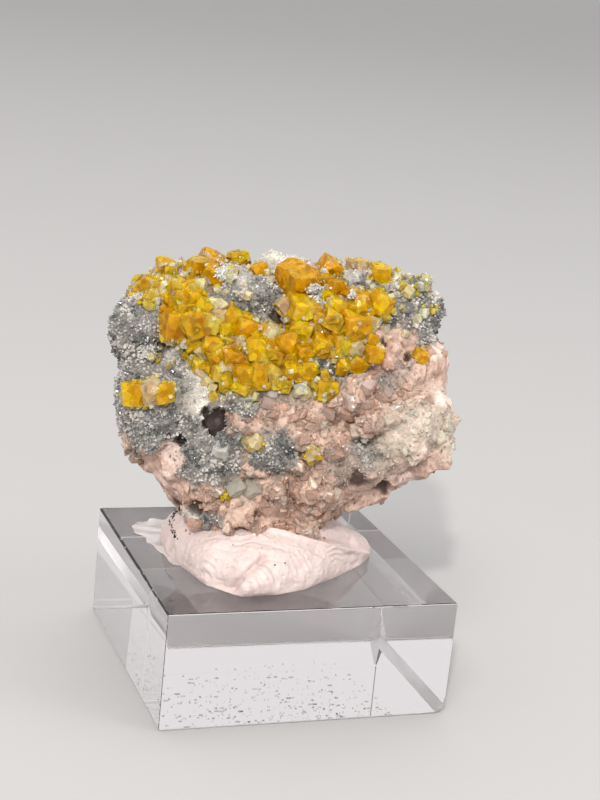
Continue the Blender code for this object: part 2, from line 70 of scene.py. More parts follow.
camera = {
    "place": (-0.059079, -0.160518, 0.076438),
    "right": (0.93982, -0.32650, 0.10069),
    "up": (-0.00648, 0.27763, 0.96067),
    "lens": 73.44,
    "sensor": 36.0,
    "picture": (600, 800),
    "clip": (0.005, 20.0),
    "reach": 0.187,  # m, to the specimen
}
cameraPlace = Vector(camera["place"])
cameraRight, cameraUp = Vector(camera["right"]).normalized(), Vector(camera["up"]).normalized()


# Places: by the show face, and by the picture's pixels
def faceSpot(pixelX, pixelY):
    # a pixel of the picture as millimetres across and up the show face
    middleX, middleY = showFace["middlePixel"]
    scale = showFace["pixelsPerMm"]
    return (pixelX - middleX) / scale, (middleY - pixelY) / scale


def sightHit(tree, across, up):
    # where the eye's line through a spot of the show face meets a skin
    target = faceMatrix @ Vector((across * mm, 0.0, up * mm))
    spot, normal, _, _ = tree.ray_cast(eyePoint, (target - eyePoint).normalized())
    if spot is None:
        spot, normal, _, _ = tree.find_nearest(target)
    return spot, normal


def pixelSight(x, y):
    # the direction from the camera through a pixel
    wide, high = camera["picture"]
    ahead = cameraUp.cross(cameraRight) * (camera["lens"] / camera["sensor"] * high)
    return (ahead + cameraRight * (x - wide / 2) - cameraUp * (y - high / 2)).normalized()


def pixelHit(tree, x, y):
    spot, _, _, _ = tree.ray_cast(cameraPlace, pixelSight(x, y))
    return spot if spot else tree.find_nearest(cameraPlace + pixelSight(x, y) * camera["reach"])[0]


def pixelOnTop(x, y, height):
    sight = pixelSight(x, y)
    return cameraPlace + sight * ((height - cameraPlace.z) / sight.z)


def awayFrom(points, spot):
    return np.linalg.norm(points - np.array(spot), axis=1) / mm


def alongLine(points, line):
    # each point's distance from a line of spots
    best = np.full(len(points), 1.0)
    for start, end in zip(line, line[1:]):
        start, run = np.array(start), np.array(end) - np.array(start)
        share = np.clip(((points - start) @ run) / (run @ run), 0.0, 1.0)
        best = np.minimum(best, np.linalg.norm(points - (start + share[:, None] * run), axis=1))
    return best


# Meshes
def addObject(name, mesh):
    obj = bpy.data.objects.new(name, mesh)
    bpy.context.scene.collection.objects.link(obj)
    return obj


def meshObject(name, bm):
    mesh = bpy.data.meshes.new(name)
    bm.to_mesh(mesh)
    bm.free()
    return addObject(name, mesh)


def evenSkin(name, bm, grid, smoothing):
    # an even skin over a form: a voxel remesh with its grid in mm, then rounds of smoothing
    obj = meshObject(name, bm)
    remesh = obj.modifiers.new("skin", "REMESH")
    remesh.mode = "VOXEL"
    remesh.voxel_size = grid * mm
    relax = obj.modifiers.new("relax", "SMOOTH")
    relax.factor = 0.5
    relax.iterations = smoothing
    bpy.context.view_layer.update()
    evaluated = obj.evaluated_get(bpy.context.evaluated_depsgraph_get())
    mesh = bpy.data.meshes.new_from_object(evaluated)
    obj.modifiers.clear()
    old = obj.data
    obj.data = mesh
    bpy.data.meshes.remove(old)
    mesh.name = name
    return obj


def mergedCopy(nodeName):
    bm = bmesh.new()
    bm.from_mesh(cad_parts[nodeName].data)
    bmesh.ops.remove_doubles(bm, verts=bm.verts, dist=0.002 * mm)
    return bm


def skinTree(*objects):
    bm = bmesh.new()
    for obj in objects:
        bm.from_mesh(obj.data)
    tree = BVHTree.FromBMesh(bm)
    bm.free()
    return tree


def pointTree(obj):
    points = pointsOf(obj.data)
    tree = KDTree(len(points))
    for index, point in enumerate(points):
        tree.insert(point, index)
    tree.balance()
    return tree


def smoothStep(low, high, value):
    share = np.clip((value - low) / (high - low), 0.0, 1.0)
    return share * share * (3.0 - 2.0 * share)


def noiseAt(points, size, octaves=3, shift=0.0):
    # noise about -1 to 1 at each point, size in mm: fractal, or plain for one octave
    offset = Vector((shift, shift * 1.7, -shift))
    scale = 1.0 / (size * mm)
    if octaves == 1:
        return np.array([noise.noise(Vector(p) * scale + offset) for p in points])
    return np.array([noise.fractal(Vector(p) * scale + offset, 1.0, 2.0, octaves) for p in points])


def readVectors(layer, key):
    out = np.empty(len(layer) * 3, np.float32)
    layer.foreach_get(key, out)
    return out.reshape(-1, 3).astype(np.float64)


def pointsOf(mesh):
    return readVectors(mesh.vertices, "co")


def normalsOf(mesh):
    return readVectors(mesh.vertex_normals, "vector")


def putPoints(mesh, points):
    mesh.vertices.foreach_set("co", points.astype(np.float32).reshape(-1))
    mesh.update()


def tintMesh(mesh, tints):
    attribute = mesh.color_attributes.new("tint", "FLOAT_COLOR", "POINT")
    rgba = np.ones((len(tints), 4), np.float32)
    rgba[:, :3] = tints
    attribute.data.foreach_set("color", rgba.reshape(-1))


def cutAway(bm, spot, outward):
    # cuts off what lies beyond a plane, closes the cut and gives its new faces
    cut = bmesh.ops.bisect_plane(
        bm, geom=bm.verts[:] + bm.edges[:] + bm.faces[:], plane_co=spot, plane_no=outward, clear_outer=True)
    rimEdges = [e for e in cut["geom_cut"] if isinstance(e, bmesh.types.BMEdge)]
    return bmesh.ops.edgeloop_fill(bm, edges=rimEdges)["faces"] if rimEdges else []


def softenEdges(bm, width, segments=1):
    bmesh.ops.bevel(
        bm, geom=bm.edges[:], offset=width, segments=segments, profile=0.5, affect="EDGES", material=-1)


def pointing(axis):
    return axis.to_track_quat("Z", "Y").to_matrix().to_4x4()


# Chance
def randomVector(chooser, spread=1.0):
    return Vector([chooser.gauss(0, spread) for _ in range(3)])


def randomTurn(chooser):
    return Matrix.Rotation(chooser.uniform(0, math.tau), 4, randomVector(chooser))


def randomCorner(chooser, least):
    return Vector([chooser.choice((-1, 1)) * chooser.uniform(least, 1.0) for _ in range(3)])


# Materials: each reads the piece's own tint and its Object coordinates, with scales per metre
finishes = {
    "greyPinkRock": {
        "speckle": (2600.0, 0.34), "roughness": (0.35, 0.7),
        "inputs": {"Specular IOR Level": 0.35, "Subsurface Weight": 0.12,
                   "Subsurface Radius": (0.9, 0.6, 0.5), "Subsurface Scale": 0.0006}},
    "frostedQuartz": {
        "speckle": (3200.0, 0.18), "roughness": (0.06, 0.34),
        "inputs": {"Transmission Weight": 0.3, "IOR": 1.54, "Specular IOR Level": 0.6}},
    "pinkTranslucentCrystal": {
        "speckle": (1800.0, 0.22), "roughness": (0.14, 0.46), "bump": (0.35, 0.00006),
        "inputs": {"Transmission Weight": 0.38, "IOR": 1.5, "Subsurface Weight": 0.5,
                   "Subsurface Radius": (1.0, 0.6, 0.45), "Subsurface Scale": 0.0007}},
    "goldenChabazite": {
        "speckle": (900.0, 0.20), "roughness": (0.08, 0.32),
        "inputs": {"Transmission Weight": 0.5, "IOR": 1.48, "Specular IOR Level": 0.13,
                   "Subsurface Weight": 0.5, "Subsurface Radius": (1.0, 0.45, 0.06),
                   "Subsurface Scale": 0.0009}},
    "glassyChabazite": {
        "speckle": (1500.0, 0.14), "roughness": (0.03, 0.28), "bump": (0.3, 0.00008),
        "inputs": {"Transmission Weight": 0.62, "IOR": 1.48}},
    "whitePutty": {
        "speckle": (900.0, 0.06), "roughness": (0.42, 0.62),
        "inputs": {"Subsurface Weight": 0.12, "Subsurface Radius": (1.0, 0.75, 0.6),
                   "Subsurface Scale": 0.0008}},
    # a dark finish for specks of dirt, and for the specks that paint the shadow in the gap by the rock
    "caughtGritAndGapShade": {"speckle": (4000.0, 0.3), "inputs": {"Roughness": 0.7}},
    "undersideScratch": {"speckle": (3000.0, 0.3), "inputs": {"Roughness": 0.6}},
}


class Finish:
    # a material being made: its nodes, its links and its shader
    def __init__(self, name, inputs):
        self.material = bpy.data.materials.new(name)
        self.material.use_nodes = True
        self.nodes = self.material.node_tree.nodes
        self.join = self.material.node_tree.links.new
        self.shader = self.nodes["Principled BSDF"]
        self.coords = self.add("TexCoord").outputs["Object"]
        for key, value in inputs.items():
            self.shader.inputs[key].default_value = value

    def add(self, kind, **values):
        # values whose names start with in_ go to the node's inputs
        node = self.nodes.new("ShaderNode" + kind)
        for key, value in values.items():
            if key.startswith("in_"):
                node.inputs[key[3:].replace("_", " ")].default_value = value
            else:
                setattr(node, key, value)
        return node

    def feed(self, value, key):
        self.join(value, self.shader.inputs[key])

    def pattern(self, kind, scale, **values):
        node = self.add("Tex" + kind, in_Scale=scale, **values)
        self.join(self.coords, node.inputs["Vector"])
        return node

    def ranged(self, value, low, high, fromLow=0.3, fromHigh=0.7):
        node = self.add("MapRange", in_From_Min=fromLow, in_From_Max=fromHigh, in_To_Min=low, in_To_Max=high)
        self.join(value, node.inputs["Value"])
        return node.outputs["Result"]

    def scaled(self, colour, factor):
        node = self.add("VectorMath", operation="SCALE")
        self.join(colour, node.inputs[0])
        self.join(factor, node.inputs["Scale"])
        return node.outputs["Vector"]

    def mixed(self, colour, other, factor):
        node = self.add("Mix", data_type="RGBA")
        node.inputs["B"].default_value = (*other, 1.0)
        self.join(factor, node.inputs["Factor"])
        self.join(colour, node.inputs["A"])
        return node.outputs["Result"]

    def bump(self, height, strength, distance):
        node = self.add("Bump", in_Strength=strength, in_Distance=distance)
        self.join(height, node.inputs["Height"])
        self.feed(node.outputs["Normal"], "Normal")


def speckled(name):
    # a finish in the piece's own tint, which noise lightens and darkens
    look = finishes[name]
    finish = Finish(name, look["inputs"])
    scale, spread = look["speckle"]
    tint = finish.add("VertexColor", layer_name="tint")
    finish.fine = finish.pattern("Noise", scale, in_Detail=6.0, in_Roughness=0.7).outputs["Fac"]
    speckle = finish.ranged(finish.fine, 1.0 - spread, 1.0 + spread)
    finish.colour = finish.scaled(tint.outputs["Color"], speckle)
    finish.feed(finish.colour, "Base Color")
    if "roughness" in look:
        finish.feed(finish.ranged(finish.fine, *look["roughness"]), "Roughness")
    if "bump" in look:
        finish.bump(finish.fine, *look["bump"])
    return finish


# Pits painted as shade in the rock's colour, and the rock's fine grain bump
rockPits = {
    "bendScale": 1400.0,
    "bend": 0.0009,  # m
    "scale": 1150.0,
    "depth": (0.25, 1.0, 0.08, 0.26),
    "clumpScale": 300.0,
    "clumping": (1.0, 0.0, 0.48, 0.60),
    "grainScale": 3800.0,
    "grainBump": (0.5, 0.0001),
}


def rockMaterial():
    finish = speckled("greyPinkRock")
    # pits of no regular shape, in clumps, painted as shade: the colour darkens toward each pit's middle
    bend = finish.pattern("Noise", rockPits["bendScale"], in_Detail=3.0)
    bent = finish.add("VectorMath", operation="MULTIPLY_ADD")
    bent.inputs[1].default_value = (rockPits["bend"],) * 3
    finish.join(bend.outputs["Color"], bent.inputs[0])
    finish.join(finish.coords, bent.inputs[2])
    pits = finish.add("TexVoronoi", in_Scale=rockPits["scale"])
    finish.join(bent.outputs["Vector"], pits.inputs["Vector"])
    clumps = finish.pattern("Noise", rockPits["clumpScale"], in_Detail=2.0)
    pitShade = finish.add("Math", operation="MAXIMUM")
    finish.join(finish.ranged(pits.outputs["Distance"], *rockPits["depth"]), pitShade.inputs[0])
    finish.join(finish.ranged(clumps.outputs["Fac"], *rockPits["clumping"]), pitShade.inputs[1])
    finish.feed(finish.scaled(finish.colour, pitShade.outputs["Value"]), "Base Color")
    grain = finish.pattern("Voronoi", rockPits["grainScale"])
    finish.bump(grain.outputs["Distance"], *rockPits["grainBump"])
    return finish.material


goldLook = {
    "cloudScale": 560.0,
    "cloudTint": (0.76, 0.34, 0.0),
    "clouding": (0.0, 0.7, 0.42, 0.62),
    "byBlue": (0.72, 0.1, 0.02, 0.3),
    "plateScale": 1500.0,
    "plates": (0.72, 1.24, 0.2, 0.8),
    "plateBump": (0.7, 0.00014),
    "frostScale": 800.0,
    "frostTint": (0.93, 0.79, 0.44),
    "frosting": (0.0, 0.42, 0.55, 0.68),
    # pale rims along the crystal edges: partly frosted edges, partly painted light where the thin edges let
    # light through
    "rimTint": (0.96, 0.78, 0.22),
    "rim": (0.0, 0.16, 0.2, 1.0),
}


def goldMaterial():
    finish = speckled("goldenChabazite")
    # a crystal clouds from yellow to amber, its faces are built of small plates, and it has frosted spots
    cloud = finish.pattern("Noise", goldLook["cloudScale"], in_Detail=3.0)
    plates = finish.pattern("Voronoi", goldLook["plateScale"])
    frost = finish.pattern("Noise", goldLook["frostScale"], in_Detail=6.0, in_Roughness=0.75)
    rim = finish.add("Attribute", attribute_name="rim", attribute_type="GEOMETRY")
    # pale crystals, told by the blue in their tint, don't cloud to amber
    parts = finish.add("SeparateColor")
    finish.join(finish.colour, parts.inputs["Color"])
    deeper = finish.ranged(cloud.outputs["Fac"], *goldLook["clouding"])
    finish.join(finish.ranged(parts.outputs["Blue"], *goldLook["byBlue"]), deeper.node.inputs["To Max"])
    colour = finish.mixed(finish.colour, goldLook["cloudTint"], deeper)
    colour = finish.scaled(colour, finish.ranged(plates.outputs["Color"], *goldLook["plates"]))
    frosted = finish.ranged(frost.outputs["Fac"], *goldLook["frosting"])
    colour = finish.mixed(colour, goldLook["frostTint"], frosted)
    # pale rims: partly frosted edges, partly painted light through the thin edges
    colour = finish.mixed(colour, goldLook["rimTint"], finish.ranged(rim.outputs["Fac"], *goldLook["rim"]))
    finish.feed(colour, "Base Color")
    finish.bump(plates.outputs["Distance"], *goldLook["plateBump"])
    return finish.material


# Zones of the rock by what it is made of, and by painted shade: tint, then patches as picture pixels with a
# radius
rockZones = {
    "pink": {"tint": (0.55, 0.395, 0.32), "patches": (
        (405, 395, 22), (300, 415, 26), (272, 415, 18), (340, 400, 24), (330, 440, 24), (372, 412, 24),
        (330, 480, 34), (300, 500, 34), (255, 505, 34), (215, 500, 16), (250, 480, 12))},
    "rosy": {"tint": (0.555, 0.395, 0.33), "patches": (
        (391, 350, 28), (442, 364, 20), (446, 388, 15), (405, 480, 26), (432, 465, 18), (370, 492, 26),
        (170, 455, 15), (155, 470, 15), (165, 492, 18), (124, 442, 10), (420, 380, 16), (268, 402, 10))},
    # grey: the rock's own dark grey under the quartz, made deeper still as painted shade between the crystals
    "grey": {"tint": (0.18, 0.183, 0.172), "patches": (
        (135, 322, 34), (140, 385, 36), (150, 420, 32), (122, 400, 22), (255, 290, 30), (238, 302, 24),
        (232, 275, 20), (395, 285, 36), (422, 302, 30), (425, 326, 20), (365, 280, 20), (205, 450, 34),
        (186, 430, 18), (225, 470, 20), (275, 450, 24), (245, 400, 16), (262, 398, 18), (172, 378, 24),
        (350, 468, 22), (366, 456, 22), (388, 384, 12), (402, 374, 12), (150, 352, 22), (190, 352, 20),
        (300, 385, 22), (332, 378, 18), (210, 520, 12), (160, 300, 20))},
    "green": {"tint": (0.54, 0.46, 0.385), "patches": (
        (420, 425, 34), (446, 402, 18), (442, 440, 20), (398, 445, 26), (392, 462, 18), (246, 487, 15))},
    "blush": {"tint": (0.93, 0.745, 0.665), "patches": (
        (174, 456, 12), (160, 478, 9), (444, 398, 10), (120, 440, 6), (436, 350, 8), (408, 478, 8))},
    "white": {"tint": (0.62, 0.585, 0.52), "patches": (
        (283, 258, 22), (168, 352, 14), (204, 402, 20), (168, 272, 8), (196, 376, 14), (246, 275, 10),
        (352, 272, 10), (190, 512, 9), (112, 306, 7), (122, 293, 6), (116, 372, 6))},
    # brown: painted shade, a near-black tint in holes, slits and under ledges, where the rock is also pushed
    # in
    "brown": {"tint": (0.032, 0.012, 0.007), "patches": (
        (208, 421, 7), (218, 414, 6), (213, 430, 6), (220, 425, 5), (206, 412, 4), (277, 317, 6),
        (164, 344, 8), (385, 341, 4), (408, 357, 4), (366, 427, 6), (384, 488, 7),
        (358, 480, 8), (180, 440, 5), (172, 508, 8), (197, 508, 7))},
    # gap: painted shade, a near-black tint in the gaps between the golden crystals
    "gap": {"tint": (0.07, 0.07, 0.055), "patches": (
        (326, 361, 12), (314, 339, 8), (221, 342, 9), (281, 369, 8), (197, 354, 10), (354, 335, 9),
        (238, 318, 6), (388, 320, 9))},
    # gold: the crust under the golden crystals, its own tint kept dark as painted shade in the gaps between
    # them
    "gold": {"tint": (0.20, 0.15, 0.06), "patches": (
        (145, 290, 18), (190, 290, 18), (185, 325, 26), (215, 345, 20), (240, 368, 28), (268, 352, 34),
        (310, 335, 32), (342, 318, 28), (366, 306, 22), (300, 378, 24), (300, 290, 22), (325, 285, 18))},
}
zoneNames = list(rockZones)
zoneTints = np.array([zone["tint"] for zone in rockZones.values()])

# Cracks and steps of the rock along picture pixels: half width and depth in mm, and how much painted shade
# darkens the tint along them
rockCreases = (
    (((127, 449), (151, 450), (166, 440), (179, 423)), 0.42, 0.50, 0.50),
    (((168, 441), (185, 441)), 0.36, 0.50, 0.75),
    (((160, 443), (160, 470)), 0.26, 0.25, 0.35),
    (((185, 443), (184, 470)), 0.26, 0.30, 0.40),
    (((134, 343), (148, 350), (162, 359)), 0.42, 0.45, 0.60),
    (((209, 491), (225, 487), (240, 482), (262, 479)), 0.30, 0.30, 0.45),
    (((223, 477), (250, 474), (275, 475), (291, 471)), 0.24, 0.25, 0.40),
    (((209, 523), (224, 512), (252, 500), (286, 508)), 0.26, 0.30, 0.45),
    (((335, 447), (361, 442), (384, 423), (413, 399)), 0.36, 0.40, 0.45),
    (((359, 426), (378, 428)), 0.40, 0.60, 0.80),
    (((339, 466), (358, 471)), 0.36, 0.50, 0.70),
    (((394, 482), (420, 462), (452, 446)), 0.34, 0.30, 0.35),
    (((311, 508), (321, 527)), 0.40, 0.50, 0.65),
    (((303, 430), (318, 446), (314, 470)), 0.28, 0.35, 0.50),
    (((345, 384), (352, 398), (344, 412)), 0.30, 0.35, 0.45),
    (((264, 420), (274, 440), (266, 458)), 0.28, 0.30, 0.45),
)

zoneEdge = {
    "wander": 9.0,  # pixels that a zone's edge strays
    "wanderSize": 1.6,  # mm
    "fullWander": 18.0,  # from this radius in pixels on
    "outer": 1.25,
    "inner": 0.72,
    "pinkBase": 0.12,
}


def byZone(weights):
    return dict(zip(zoneNames, weights.T))


def zoneWeights(points):
    # how much of each zone there is at each point, by where the eye sees it on the show face
    toFaceArray = np.array(toFace)
    local = points @ toFaceArray[:3, :3].T + toFaceArray[:3, 3]
    eye = np.array(showFace["eye"]) * mm
    reach = -eye[1] / (local[:, 1] - eye[1])
    across = (eye[0] + (local[:, 0] - eye[0]) * reach) / mm
    up = (eye[2] + (local[:, 2] - eye[2]) * reach) / mm
    pixelX = showFace["middlePixel"][0] + across * showFace["pixelsPerMm"]
    pixelY = showFace["middlePixel"][1] - up * showFace["pixelsPerMm"]
    wander = noiseAt(points, zoneEdge["wanderSize"], 3) * zoneEdge["wander"]
    drift = noiseAt(points, zoneEdge["wanderSize"], 3, 7.3) * zoneEdge["wander"]
    weights = np.zeros((len(points), len(zoneNames)))
    for index, zone in enumerate(rockZones.values()):
        for x, y, radius in zone["patches"]:
            loose = min(1.0, radius / zoneEdge["fullWander"])
            away = np.hypot(pixelX + wander * loose - x, pixelY + drift * loose - y)
            near = smoothStep(zoneEdge["outer"] * radius, zoneEdge["inner"] * radius, away)
            weights[:, index] = np.maximum(weights[:, index], near)
    zones = byZone(weights)
    front = smoothStep(0.0, -2.0 * mm, local[:, 1])
    zones["pink"] += zoneEdge["pinkBase"]
    # the painted shade of holes is strong on the front
    zones["brown"] *= 7.0 * front
    # the painted shade of the gaps is strong on the front
    zones["gap"] *= 5.0 * front
    zones["gold"] *= 0.8 * smoothStep(6.0 * mm, 1.0 * mm, local[:, 1])
    return weights / weights.sum(axis=1, keepdims=True)


# Flat broken faces: a picture pixel and a radius in mm
rockFlats = (
    ((172, 457), 1.5), ((243, 509), 1.7), ((276, 513), 1.5), ((221, 517), 1.1), ((336, 500), 1.3),
    ((302, 500), 1.2), ((372, 494), 1.5), ((446, 370), 1.7), ((438, 428), 1.5), ((398, 436), 1.4),
)


def flatsNear(points, tree):
    # how far each point belongs to each flat face
    near = []
    for pixel, radius in rockFlats:
        near.append(smoothStep(1.15 * radius, 0.8 * radius, awayFrom(points, pixelHit(tree, *pixel))))
    return near


rock = {
    "grid": 0.225,  # mm, as the other sizes and depths
    "smoothing": 4,
    "grainSize": 1.3,
    "grainDepth": 0.16,
    "coarseSize": 2.6,
    "cellSize": 1.7,
    "cellTip": 1.2,
    "cellDome": 0.4,
    "cellDepth": 0.38,
    "rosyDepth": 0.12,
    "crustRise": 0.36,
    "pitDepth": 0.55,
    "flatness": 0.92,
    "shadeSize": 0.9,
}


def cellBlocks(points):
    # blocky broken stone: each cell of a Voronoi pattern is tipped its own way
    shifts = [Vector((shift, -shift, shift)) for shift in (0.0, 5.3, 11.7)]
    blocky = np.empty(len(points))
    for index, point in enumerate(points):
        spot = Vector(point) / (rock["cellSize"] * mm)
        distances, feature = noise.voronoi(spot)
        tip = Vector([noise.noise(feature[0] * 3.7 + shift) for shift in shifts])
        blocky[index] = (spot - feature[0]).dot(tip) * rock["cellTip"] - distances[0] * rock["cellDome"]
    return blocky


def makeRock():
    obj = evenSkin("rockSkin", mergedCopy("matrix_rock"), rock["grid"], rock["smoothing"])
    points, normals = pointsOf(obj.data), normalsOf(obj.data)
    weights = zoneWeights(points)
    zones = byZone(weights)
    tree = skinTree(obj)
    rosy = sum(zones[name] for name in ("rosy", "green", "blush"))
    blocky = cellBlocks(points)
    fine = noiseAt(points, rock["grainSize"], 6)
    coarse = noiseAt(points, rock["coarseSize"], 5, 3.3)
    push = rock["cellDepth"] * zones["pink"] * blocky
    push += rock["grainDepth"] * fine * (0.35 + 0.85 * zones["grey"])
    push += (rock["rosyDepth"] * 4.0 * coarse + rock["rosyDepth"] * blocky) * rosy
    push += rock["crustRise"] * zones["gold"] * (0.8 + coarse) - rock["pitDepth"] * zones["brown"]
    push *= 1.0 - 0.85 * zones["blush"]
    paintedCreaseShade = np.ones(len(points))
    # painted shade: the tint darkens along each crack and under each step
    for pixels, halfWidth, depth, shadow in rockCreases:
        away = alongLine(points, [pixelHit(tree, x, y) for x, y in pixels])
        near = smoothStep(1.0, 0.0, away / (halfWidth * mm * (1.0 + 0.7 * fine)))
        push -= depth * near
        paintedCreaseShade *= 1.0 - shadow * near
    points = points + normals * (push * mm)[:, None]
    for near in flatsNear(points, tree):
        inside = points[near > 0.5]
        middle = inside.mean(axis=0)
        facing = np.linalg.svd(inside - middle, full_matrices=False)[2][2]
        points = points - np.outer((points - middle) @ facing * near * rock["flatness"], facing)
    putPoints(obj.data, points)
    # a random tone, then painted shade on the pink blocks: the tint lightens where a block rises and darkens
    # where it sinks
    shade = 1.0 + 0.32 * noiseAt(points, rock["shadeSize"], 3, 2.1)
    shade += 0.12 * np.clip(blocky, -1, 1) * zones["pink"]
    # the tint takes the painted shade of the creases and of the blocks' relief
    tints = weights @ zoneTints * (paintedCreaseShade * np.clip(shade, 0.4, 1.5))[:, None]
    tintMesh(obj.data, np.clip(tints, 0.0, 0.95))
    obj.data.shade_smooth()
    obj.data.materials.append(rockMaterial())
    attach(obj, "root")
    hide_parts("matrix_rock")
    print("rock", len(obj.data.polygons), "faces")
    return obj


# Small crystals: a few shapes, set out many times in one joined mesh
def shapeArrays(bm):
    bmesh.ops.recalc_face_normals(bm, faces=bm.faces)
    bm.verts.index_update()
    faces = [[v.index for v in f.verts] for f in bm.faces]
    rim = bm.verts.layers.float.get("rim")
    shape = {
        "points": np.array([v.co[:] for v in bm.verts]),
        "loops": np.array([i for f in faces for i in f]),
        "sizes": np.array([len(f) for f in faces]),
        "rims": np.array([v[rim] if rim else 0.0 for v in bm.verts]),
    }
    bm.free()
    return shape


def setOut(name, shapes, placings, material, sharp=None):
    # placings: shape number, 4x4 matrix, tint
    points, loops, sizes, tints, rims, start = [], [], [], [], [], 0
    for shapeIndex, matrix, tint in placings:
        shape = shapes[shapeIndex]
        grid = np.array(matrix)
        points.append(shape["points"] @ grid[:3, :3].T + grid[:3, 3])
        loops.append(shape["loops"] + start)
        sizes.append(shape["sizes"])
        tints.append(np.tile(tint, (len(shape["points"]), 1)))
        rims.append(shape["rims"])
        start += len(shape["points"])
    points, loops, sizes = np.concatenate(points), np.concatenate(loops), np.concatenate(sizes)
    mesh = bpy.data.meshes.new(name)
    mesh.vertices.add(len(points))
    mesh.loops.add(len(loops))
    mesh.polygons.add(len(sizes))
    mesh.vertices.foreach_set("co", points.astype(np.float32).reshape(-1))
    mesh.loops.foreach_set("vertex_index", loops.astype(np.int32))
    mesh.polygons.foreach_set("loop_start", np.concatenate([[0], np.cumsum(sizes)[:-1]]).astype(np.int32))
    mesh.update(calc_edges=True)
    if sharp is None:
        mesh.shade_flat()
    else:
        mesh.shade_smooth()
        mesh.set_sharp_from_angle(angle=math.radians(sharp))
    tintMesh(mesh, np.concatenate(tints))
    rimLayer = mesh.attributes.new("rim", "FLOAT", "POINT")
    rimLayer.data.foreach_set("value", np.concatenate(rims).astype(np.float32))
    mesh.materials.append(material)
    obj = addObject(name, mesh)
    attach(obj, "root")
    print(name, len(placings), "crystals,", int((sizes - 2).sum()), "triangles")
    return obj


def skinSamples(obj, weightAt, count, seed):
    # points over the skin, thicker where weightAt says, with their normals and nearest vertices
    mesh = obj.data
    mesh.calc_loop_triangles()
    corners = np.empty(len(mesh.loop_triangles) * 3, np.int32)
    mesh.loop_triangles.foreach_get("vertices", corners)
    corners = corners.reshape(-1, 3)
    points, normals = pointsOf(mesh), normalsOf(mesh)
    a, b, c = (points[corners[:, i]] for i in range(3))
    area = 0.5 * np.linalg.norm(np.cross(b - a, c - a), axis=1)
    chance = area * weightAt[corners].mean(axis=1)
    picker = np.random.default_rng(seed)
    chosen = picker.choice(len(corners), count, p=chance / chance.sum())
    r1, r2 = np.sqrt(picker.random(count)), picker.random(count)
    shares = ((1 - r1, a), (r1 * (1 - r2), b), (r1 * r2, c))
    spots = sum(share[:, None] * corner[chosen] for share, corner in shares)
    outward = normals[corners[chosen]].mean(axis=1)
    outward /= np.linalg.norm(outward, axis=1, keepdims=True)
    return spots, outward, corners[chosen][:, 0]


goldTones = {
    "deep": (0.87, 0.47, 0.0),
    "amber": (0.92, 0.56, 0.002),
    "yellow": (0.95, 0.60, 0.008),
    "lemon": (0.96, 0.70, 0.13),
    "cream": (0.95, 0.77, 0.47),
    "peach": (0.94, 0.68, 0.45),
    "white": (0.94, 0.83, 0.67),
}

